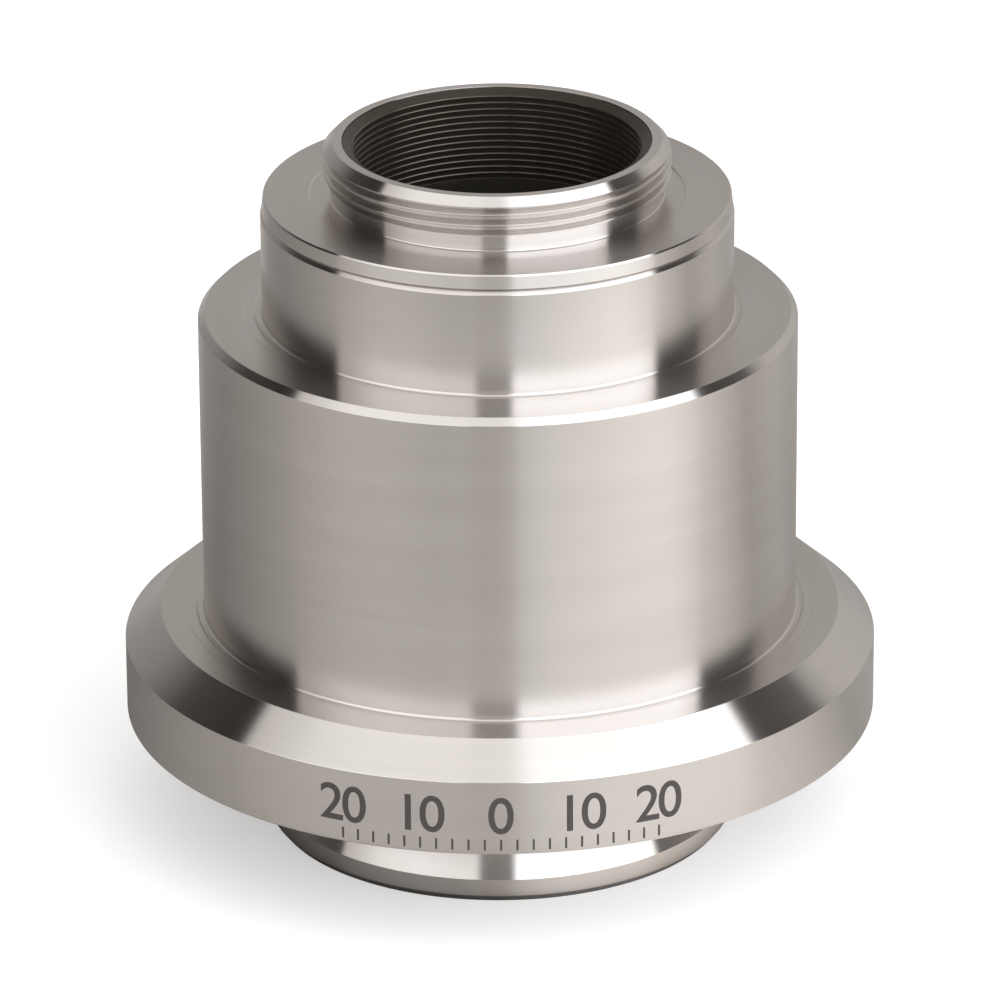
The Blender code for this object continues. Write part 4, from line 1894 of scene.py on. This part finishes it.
@dataclass
class LensGroup:
    """Black barrel with its lenses, spacers, stop and slotted rings."""

    lens_radius: float = 12.3
    seat_radius: float = 11.2
    stop_radius: float = 9.0
    barrel_bore: float = 12.6
    barrel_radius: float = 14.2
    barrel_lip: float = 1.2
    lock_ring_bore: float = 12.2
    ring_edge: float = 0.08
    ring_chamfer: float = 0.5
    slot_width: float = 1.4
    slot_depth: float = 0.7
    slot_overrun: float = 1.0
    face_steps: int = 14
    rim_slope: float = 0.3
    sharp_deg: float = 20.0
    # Curves of the lower and the upper face of each element, from the foot up.
    curves: tuple[tuple[str, float, float, bool], ...] = (
        ("rear_crown_lens", 38.0, 30.0, True),
        ("rear_flint_lens", -30.0, 80.0, False),
        ("middle_meniscus_lens", -45.0, 30.0, True),
        ("front_flint_lens", -88.0, -28.0, False),
        ("front_crown_lens", 28.0, 45.0, True),
    )

    def build(self, finishes: Finishes) -> None:
        """Make everything in and on the barrel.

        Args:
            finishes: Finishes to use.
        """
        low, high = node_heights("lens_barrel")
        barrel = Outline(
            [
                Corner(self.seat_radius, low, 0.1),
                Corner(self.barrel_radius, low, 0.2),
                Corner(self.barrel_radius, high, 0.2),
                Corner(self.barrel_bore, high, 0.15),
                Corner(self.barrel_bore, low + self.barrel_lip, 0.05),
                Corner(self.seat_radius, low + self.barrel_lip, 0.1),
            ]
        )
        turned_piece(
            "black_barrel",
            barrel,
            finishes.black_barrel,
            Body.MOUNT,
            "black_barrel",
            replaced=["lens_barrel"],
        )
        self.build_plain_rings(finishes)
        self.build_slotted_rings(finishes)
        for lens in self.lenses():
            self.build_lens(lens, finishes)

    def build_plain_rings(self, finishes: Finishes) -> None:
        """Make the spacers and the stop.

        Args:
            finishes: Finishes to use.
        """
        bores = {
            "rear_lens_spacer": self.seat_radius,
            "middle_lens_spacer": self.seat_radius,
            "aperture_stop": self.stop_radius,
        }
        for node, bore in bores.items():
            low, high = node_heights(node)
            ring = Outline(ring_corners(bore, self.lens_radius, low, high, self.ring_edge))
            turned_piece(
                f"black_{node}", ring, finishes.black_ring, Body.MOUNT, "black_ring", replaced=[node]
            )

    def build_slotted_rings(self, finishes: Finishes) -> None:
        """Make the two rings that a spanner turns.

        Args:
            finishes: Finishes to use.
        """
        walls = {
            "lens_retaining_ring": (self.seat_radius, self.lens_radius),
            "barrel_lock_ring": (self.lock_ring_bore, self.barrel_radius),
        }
        for node, (bore, outer) in walls.items():
            low, high = node_heights(node)
            ring = Outline(
                [
                    Corner(bore, low, self.ring_edge),
                    Corner(outer, low, 0.1),
                    Corner(outer, high, 0.1),
                    Corner(bore + self.ring_chamfer, high, 0.05),
                    Corner(bore, high - self.ring_chamfer, 0.05),
                ]
            )
            slot = slot_cutter(outer + self.slot_overrun, self.slot_width, high, self.slot_depth)
            turned_piece(
                f"black_{node}",
                ring,
                finishes.black_ring,
                Body.MOUNT,
                "black_ring",
                replaced=[node],
                cutters=[slot],
            )

    def lenses(self) -> list[LensShape]:
        """Every element, with its place read off the CAD node.

        Returns:
            The elements from the foot up.
        """
        found = []
        for node, lower, upper, crown in self.curves:
            bottom, top = node_heights(node)
            low = bottom + max(0.0, self.bulge(lower))
            high = top - max(0.0, self.bulge(upper))
            found.append(LensShape(node, low, high, lower, upper, crown))
        return found

    def bulge(self, curve: float, radius: float = 0.0) -> float:
        """How far a face stands out past its own rim.

        Args:
            curve: Radius of the face, negative for a hollow one.
            radius: Distance from the axis.

        Returns:
            The height in millimetres.
        """
        size = abs(curve)
        rise = math.sqrt(size**2 - radius**2) - math.sqrt(size**2 - self.lens_radius**2)
        return math.copysign(rise, curve)

    def build_lens(self, lens: LensShape, finishes: Finishes) -> None:
        """Make one element with an inked edge.

        Args:
            lens: Element to make.
            finishes: Finishes to use.
        """
        steps = [self.lens_radius * i / self.face_steps for i in range(self.face_steps + 1)]
        lower = [Corner(r, lens.low - self.bulge(lens.lower_curve, r)) for r in steps]
        upper = [Corner(r, lens.high + self.bulge(lens.upper_curve, r)) for r in reversed(steps)]
        mesh = Lathe.mesh(lens.node, Outline(lower + upper, closed=False), Turn.SMALL.value)
        glass = finishes.crown_glass if lens.crown else finishes.flint_glass
        mesh.materials.append(glass.material())
        mesh.materials.append(finishes.edge_ink.material())
        mesh.shade_smooth()
        mesh.set_sharp_from_angle(angle=math.radians(self.sharp_deg))
        for polygon in mesh.polygons:
            polygon.material_index = 1 if abs(polygon.normal.z) < self.rim_slope else 0
        layer = mesh.uv_layers.new(name=UV_NAME)
        for loop in mesh.loops:
            spot = mesh.vertices[loop.vertex_index].co
            layer.data[loop.index].uv = (spot.x / UV_SPAN_MM / MM, spot.y / UV_SPAN_MM / MM)
        slot = "crown_glass" if lens.crown else "flint_glass"
        place(f"{lens.node}_glass", mesh, glass.material(), Body.MOUNT, slot, [lens.node])


# Studio


Stops = tuple[tuple[float, float], ...]


@dataclass
class Studio:
    """Camera, pale floor and a soft light dome with two front lamps and darker flags behind.

    Directions are degrees round the object, 0 at the front and positive to the right. Tones are
    linear, and 1 is white.
    """

    focal_mm: float = 279.0
    sensor_mm: float = 36.0
    elevation: float = 22.754
    roll: float = -0.35
    camera_place: tuple[float, float, float] = (0.00007, -0.5293, 0.2467)
    clip_start: float = 0.01
    clip_end: float = 20.0

    floor_size: float = 3.0
    floor_level: float = -0.00001
    floor_grey: float = 0.8
    floor_lift: float = 0.35
    # What the steel sees of the floor, by direction: painted light and shade, for the lamps light it
    # unevenly.
    floor_tones: Stops = (
        (-180.0, 0.35), (-160.0, 0.367), (-140.0, 0.24), (-120.0, 0.23), (-100.0, 0.295), (-80.0, 0.375),
        (-60.0, 0.42), (-40.0, 0.47), (-20.0, 0.48), (0.0, 0.53), (8.0, 0.60), (20.0, 0.74), (40.0, 0.79),
        (60.0, 0.79), (80.0, 0.65), (100.0, 0.40), (120.0, 0.43), (140.0, 0.34), (160.0, 0.34),
        (180.0, 0.35),
    )
    # Factors on those tones by distance from the axis, each over a span in millimetres. They paint a contact
    # shadow round the foot, extra light near it on the right and a change far out.
    contact_shadow_span: tuple[float, float] = (17.2, 19.6)
    contact_shadow_factor: float = 0.2
    near_span: tuple[float, float] = (22.0, 34.0)
    near_left: float = 0.96
    near_right: float = 1.68
    near_middle: float = 4.0
    far_span: tuple[float, float] = (72.0, 110.0)
    far_turn: tuple[float, float] = (20.0, 55.0)
    far_front: float = 0.83
    far_flank: float = 1.2

    # The dome's lower part: a lamp on each side of a narrow gap at the front, with flags beside them.
    left_side: Stops = (
        (-180.0, 0.47), (-160.0, 0.43), (-150.0, 0.36), (-139.0, 0.29), (-129.0, 0.17), (-118.0, 0.06),
        (-85.7, 0.02), (-84.0, 0.86), (-78.0, 0.95), (-62.0, 1.52), (-42.0, 1.72), (-12.0, 1.58),
    )
    right_side: Stops = (
        (8.0, 2.88), (72.0, 2.85), (82.0, 2.1), (83.4, 0.04), (112.0, 0.11), (120.0, 0.47), (129.0, 0.63),
        (140.0, 0.65), (160.0, 0.56), (180.0, 0.47),
    )
    gap_edges: tuple[float, float] = (-9.5, 5.5)
    gap_tone: float = 0.12
    gap_filled_tone: float = 1.5
    # The gap is open between these heights, in degrees over the floor.
    gap_opens: tuple[float, float] = (3.0, 11.0)
    gap_closes: tuple[float, float] = (32.0, 46.0)
    # Behind these directions the panels run straight up.
    straight_span: tuple[float, float] = (125.0, 150.0)

    # The dome's upper part, above these heights, with a front and a rear half.
    top_span: tuple[float, float] = (50.0, 56.0)
    overhead_left: float = 1.3
    overhead_right: float = 1.68
    rear_left: float = 0.5
    rear_right: float = 0.98
    side_span: tuple[float, float] = (0.02, 0.12)
    rear_span: tuple[float, float] = (-0.03, 0.15)
    # Dim parts of the dome are warm, and a part of this tone is neutral.
    warmth: float = 0.055
    neutral_tone: float = 1.6

    def build(self) -> None:
        """Make the camera, the floor and the world, and set the view transform."""
        self.make_camera()
        self.make_floor()
        self.make_world()
        bpy.context.scene.view_settings.view_transform = "Standard"

    def make_camera(self) -> None:
        """Camera at the photograph's angle."""
        data = bpy.data.cameras.new("photo_camera")
        data.lens = self.focal_mm
        data.sensor_width = self.sensor_mm
        data.clip_start = self.clip_start
        data.clip_end = self.clip_end
        camera = bpy.data.objects.new("photo_camera", data)
        bpy.context.scene.collection.objects.link(camera)
        tilt = Matrix.Rotation(math.radians(90.0 - self.elevation), 4, "X")
        roll = Matrix.Rotation(math.radians(self.roll), 4, "Z")
        camera.matrix_world = Matrix.Translation(self.camera_place) @ tilt @ roll
        bpy.context.scene.camera = camera

    def make_floor(self) -> None:
        """Pale floor under the foot, white to the camera, and for what the steel reflects toned with painted
        light and a painted shadow round the foot.
        """
        half = self.floor_size / 2.0
        corners = [(x * half, y * half, self.floor_level) for x, y in ((-1, -1), (1, -1), (1, 1), (-1, 1))]
        mesh = bpy.data.meshes.new("floor")
        mesh.from_pydata(corners, [], [(0, 1, 2, 3)])
        material = bpy.data.materials.new("pale studio floor")
        material.use_nodes = True
        nodes = Nodes(material.node_tree)
        seen = nodes.add("ShaderNodeLightPath").outputs["Is Camera Ray"]
        grey = (self.floor_grey, self.floor_grey, self.floor_grey, 1.0)
        pale = nodes.add(
            "ShaderNodeMix", {"Factor": seen, 6: self.reflected_floor(nodes), 7: grey}, data_type="RGBA"
        )
        diffuse = nodes.add("ShaderNodeBsdfDiffuse", {"Color": pale.outputs[2]})
        strength = nodes.add("ShaderNodeMath", {0: seen, 1: self.floor_lift}, operation="MULTIPLY")
        lift = nodes.add("ShaderNodeEmission", {"Color": (1.0, 1.0, 1.0, 1.0), "Strength": strength})
        both = nodes.add("ShaderNodeAddShader", {0: diffuse, 1: lift})
        # Seen from below the floor is clear, so that the foot shows.
        below = nodes.add("ShaderNodeNewGeometry").outputs["Backfacing"]
        clear = nodes.add("ShaderNodeBsdfTransparent")
        surface = nodes.add("ShaderNodeMixShader", {0: below, 1: both, 2: clear})
        nodes.add("ShaderNodeOutputMaterial", {"Surface": surface})
        mesh.materials.append(material)
        link_object("floor", mesh)

    def reflected_floor(self, nodes: Nodes) -> bpy.types.Node:
        """Tone of the floor in the steel, by direction and by distance from the axis: painted light and
        shade.

        Args:
            nodes: Helper on the floor's tree.

        Returns:
            The node that gives the colour.
        """
        spot = nodes.add("ShaderNodeSeparateXYZ", {0: nodes.add("ShaderNodeTexCoord").outputs["Object"]})
        x, y = spot.outputs["X"], spot.outputs["Y"]
        ahead = nodes.add("ShaderNodeMath", {0: y, 1: -1.0}, operation="MULTIPLY")
        azimuth = nodes.add("ShaderNodeMath", {0: x, 1: ahead}, operation="ARCTAN2")
        share = nodes.add("ShaderNodeMath", {0: azimuth, 1: 1.0 / math.tau, 2: 0.5}, operation="MULTIPLY_ADD")
        stops = [(self.turn_share(direction), self.paper(tone)) for direction, tone in self.floor_tones]
        tone = nodes.add("ShaderNodeValToRGB", {"Fac": share}, stops)
        square = nodes.add("ShaderNodeMath", {0: x, 1: x}, operation="MULTIPLY")
        total = nodes.add("ShaderNodeMath", {0: y, 1: y, 2: square}, operation="MULTIPLY_ADD")
        reach = nodes.add("ShaderNodeMath", {0: total}, operation="SQRT")
        near = self.near_factor(nodes, x, reach)
        far = self.far_factor(nodes, azimuth, reach)
        # Painted contact shadow: the floor darkens towards the foot.
        contact = nodes.add(
            "ShaderNodeMapRange",
            {
                "Value": reach,
                "From Min": self.contact_shadow_span[0] * MM,
                "From Max": self.contact_shadow_span[1] * MM,
                "To Min": self.contact_shadow_factor,
                "To Max": 1.0,
            },
        )
        open_floor = nodes.add("ShaderNodeMath", {0: near, 1: far}, operation="MULTIPLY")
        factor = nodes.add("ShaderNodeMath", {0: contact, 1: open_floor}, operation="MULTIPLY")
        return nodes.add("ShaderNodeVectorMath", {0: tone, "Scale": factor}, operation="SCALE")

    def near_factor(self, nodes: Nodes, x: bpy.types.NodeSocket, reach: bpy.types.Node) -> bpy.types.Node:
        """Factor that paints extra light on the floor close to the foot, which the right lamp lights more.

        Args:
            nodes: Helper on the floor's tree.
            x: Place across.
            reach: Distance from the axis.

        Returns:
            The node that gives the factor.
        """
        side = nodes.add(
            "ShaderNodeMapRange",
            {
                "Value": x,
                "From Min": -self.near_middle * MM,
                "From Max": self.near_middle * MM,
                "To Min": self.near_left,
                "To Max": self.near_right,
            },
        )
        return nodes.add(
            "ShaderNodeMapRange",
            {
                "Value": reach,
                "From Min": self.near_span[0] * MM,
                "From Max": self.near_span[1] * MM,
                "To Min": side,
                "To Max": 1.0,
            },
        )

    def far_factor(self, nodes: Nodes, azimuth: bpy.types.Node, reach: bpy.types.Node) -> bpy.types.Node:
        """Factor on the floor far from the foot, darker at the front than at the flanks.

        Args:
            nodes: Helper on the floor's tree.
            azimuth: Direction in radians.
            reach: Distance from the axis.

        Returns:
            The node that gives the factor.
        """
        flank = nodes.add(
            "ShaderNodeMapRange",
            {
                "Value": nodes.add("ShaderNodeMath", {0: azimuth}, operation="ABSOLUTE"),
                "From Min": math.radians(self.far_turn[0]),
                "From Max": math.radians(self.far_turn[1]),
                "To Min": self.far_front,
                "To Max": self.far_flank,
            },
        )
        return nodes.add(
            "ShaderNodeMapRange",
            {
                "Value": reach,
                "From Min": self.far_span[0] * MM,
                "From Max": self.far_span[1] * MM,
                "To Min": 1.0,
                "To Max": flank,
            },
        )

    def make_world(self) -> None:
        """Light dome: its tone depends on the direction round the object and on the height."""
        world = bpy.data.worlds.new("studio dome")
        world.use_nodes = True
        bpy.context.scene.world = world
        nodes = Nodes(world.node_tree)
        way = nodes.add("ShaderNodeSeparateXYZ", {0: nodes.add("ShaderNodeTexCoord").outputs["Generated"]})
        x, y, z = (way.outputs[axis] for axis in "XYZ")
        slope = nodes.add("ShaderNodeMath", {0: z}, operation="ARCSINE")
        height = nodes.add("ShaderNodeMath", {0: slope, 1: math.degrees(1.0)}, operation="MULTIPLY")
        low = self.dome_side(nodes, self.dome_direction(nodes, x, y), height)
        top = self.dome_top(nodes, x, y)
        rise = nodes.add(
            "ShaderNodeMapRange",
            {"Value": height, "From Min": self.top_span[0], "From Max": self.top_span[1]},
        )
        dome = nodes.add("ShaderNodeMix", {"Factor": rise, 6: low, 7: top}, data_type="RGBA")
        seen = nodes.add("ShaderNodeLightPath").outputs["Is Camera Ray"]
        white = (1.0, 1.0, 1.0, 1.0)
        colour = nodes.add("ShaderNodeMix", {"Factor": seen, 6: dome.outputs[2], 7: white}, data_type="RGBA")
        background = nodes.add("ShaderNodeBackground", {"Color": colour.outputs[2], "Strength": 1.0})
        nodes.add("ShaderNodeOutputWorld", {"Surface": background})

    def dome_direction(
        self, nodes: Nodes, x: bpy.types.NodeSocket, y: bpy.types.NodeSocket
    ) -> bpy.types.Node:
        """Share of a full turn at which a ray meets the dome.

        In front the panels curve over the object, so that a turned face reflects their edges as
        upright lines. Behind they stand straight.

        Args:
            nodes: Helper on the world's tree.
            x: Ray across.
            y: Ray away from the front.

        Returns:
            The node that gives the share.
        """
        degrees = math.degrees(1.0)
        ahead = nodes.add("ShaderNodeMath", {0: y, 1: -1.0}, operation="MULTIPLY")
        angle = nodes.add("ShaderNodeMath", {0: x, 1: ahead}, operation="ARCTAN2")
        straight = nodes.add("ShaderNodeMath", {0: angle, 1: degrees}, operation="MULTIPLY")
        lean = math.cos(math.radians(self.elevation))
        toward = nodes.add("ShaderNodeMath", {0: lean, 1: y}, operation="SUBTRACT")
        half = nodes.add("ShaderNodeMath", {0: x, 1: toward}, operation="ARCTAN2")
        curved = nodes.add("ShaderNodeMath", {0: half, 1: 2.0 * degrees}, operation="MULTIPLY")
        behind = nodes.add(
            "ShaderNodeMapRange",
            {
                "Value": nodes.add("ShaderNodeMath", {0: straight}, operation="ABSOLUTE"),
                "From Min": self.straight_span[0],
                "From Max": self.straight_span[1],
            },
        )
        turned = nodes.add("ShaderNodeMix", {"Factor": behind, 2: curved, 3: straight})
        return nodes.add("ShaderNodeMath", {0: turned, 1: 1.0 / 360.0, 2: 0.5}, operation="MULTIPLY_ADD")

    def dome_side(self, nodes: Nodes, share: bpy.types.Node, height: bpy.types.Node) -> bpy.types.NodeSocket:
        """Lower part of the dome, with the gap between the front lamps.

        Low down and high up the two lamps meet, so that upright walls and tops show no dark line.

        Args:
            nodes: Helper on the world's tree.
            share: Share of a full turn.
            height: Height over the floor in degrees.

        Returns:
            The socket that gives the colour.
        """
        gapped = nodes.add("ShaderNodeValToRGB", {"Fac": share}, self.side_stops(self.gap_tone))
        filled = nodes.add("ShaderNodeValToRGB", {"Fac": share}, self.side_stops(self.gap_filled_tone))
        above = nodes.add(
            "ShaderNodeMapRange",
            {"Value": height, "From Min": self.gap_closes[0], "From Max": self.gap_closes[1]},
        )
        under = nodes.add(
            "ShaderNodeMapRange",
            {
                "Value": height,
                "From Min": self.gap_opens[0],
                "From Max": self.gap_opens[1],
                "To Min": 1.0,
                "To Max": 0.0,
            },
        )
        shut = nodes.add("ShaderNodeMath", {0: above, 1: under}, operation="MAXIMUM")
        return nodes.add("ShaderNodeMix", {"Factor": shut, 6: gapped, 7: filled}, data_type="RGBA").outputs[2]

    def dome_top(
        self, nodes: Nodes, x: bpy.types.NodeSocket, y: bpy.types.NodeSocket
    ) -> bpy.types.NodeSocket:
        """Upper part of the dome: four tones, left and right, front and rear.

        Args:
            nodes: Helper on the world's tree.
            x: Ray across.
            y: Ray away from the front.

        Returns:
            The socket that gives the colour.
        """
        side = nodes.add(
            "ShaderNodeMapRange",
            {"Value": x, "From Min": self.side_span[0], "From Max": self.side_span[1]},
        )
        front = nodes.add(
            "ShaderNodeMix",
            {"Factor": side, 6: self.lamp(self.overhead_left), 7: self.lamp(self.overhead_right)},
            data_type="RGBA",
        )
        rear = nodes.add(
            "ShaderNodeMix",
            {"Factor": side, 6: self.lamp(self.rear_left), 7: self.lamp(self.rear_right)},
            data_type="RGBA",
        )
        past = nodes.add(
            "ShaderNodeMapRange",
            {"Value": y, "From Min": self.rear_span[0], "From Max": self.rear_span[1]},
        )
        return nodes.add(
            "ShaderNodeMix", {"Factor": past, 6: front.outputs[2], 7: rear.outputs[2]}, data_type="RGBA"
        ).outputs[2]

    def side_stops(self, gap_tone: float) -> list[tuple[float, tuple]]:
        """Stops of the dome's lower part.

        Args:
            gap_tone: Tone of the gap between the lamps.

        Returns:
            Places from 0 to 1 with a colour each.
        """
        gap = [(edge, gap_tone) for edge in self.gap_edges]
        tones = [*self.left_side, *gap, *self.right_side]
        return [(self.turn_share(direction), self.lamp(tone)) for direction, tone in tones]

    @staticmethod
    def turn_share(direction: float) -> float:
        """Direction in degrees, from -180 to 180, as a share of a full turn."""
        return (direction + 180.0) / 360.0

    @staticmethod
    def paper(tone: float) -> tuple[float, float, float, float]:
        """A slightly warm tone, as of paper."""
        return (1.05 * tone, tone, 0.945 * tone, 1.0)

    def lamp(self, tone: float) -> tuple[float, float, float, float]:
        """Colour of a part of the dome: lamps are neutral and the dim room round them is warm.

        Args:
            tone: Linear brightness.

        Returns:
            The colour.
        """
        warmth = self.warmth * (1.0 - tone / self.neutral_tone)
        return ((1.0 + warmth) * tone, tone, (1.0 - warmth) * tone, 1.0)


def ribbed_tubes() -> tuple[RibbedTube, RibbedTube]:
    """The ribbed tubes of the foot and of the camera ring.

    Returns:
        Both tubes, the foot's first.
    """
    foot_tube = RibbedTube(
        name="foot_tube",
        node="entry_baffle_tube",
        body=Body.MOUNT,
        bottom=1.0,
        top=10.205,
        outer=12.6,
        crest=11.6,
        ribs_top=8.6,
        rib_depth=0.45,
        rib_pitch=1.0,
        rib_count=6,
    )
    ring_tube = RibbedTube(
        name="ring_tube",
        node="ring_baffle_tube",
        body=Body.HEAD,
        bottom=36.1,
        top=53.1,
        outer=11.06,
        crest=10.5,
        ribs_top=52.23,
        rib_depth=0.15,
        rib_pitch=0.5,
        rib_count=12,
        lip=0.2,
    )
    return foot_tube, ring_tube


def main() -> None:
    """Dress the part from the foot up, then set the studio."""
    logging.basicConfig(level=logging.INFO, format="%(message)s")
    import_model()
    finishes = Finishes()
    screws = SetScrews()
    foot_tube, ring_tube = ribbed_tubes()
    MountBody().build(finishes, screws)
    screws.build(finishes)
    RimScale().build(finishes)
    foot_tube.build(finishes)
    LensGroup().build(finishes)
    FocusSleeve().build(finishes)
    CameraRing().build(finishes)
    ring_tube.build(finishes)
    Studio().build()


if __name__ == "__main__":
    main()
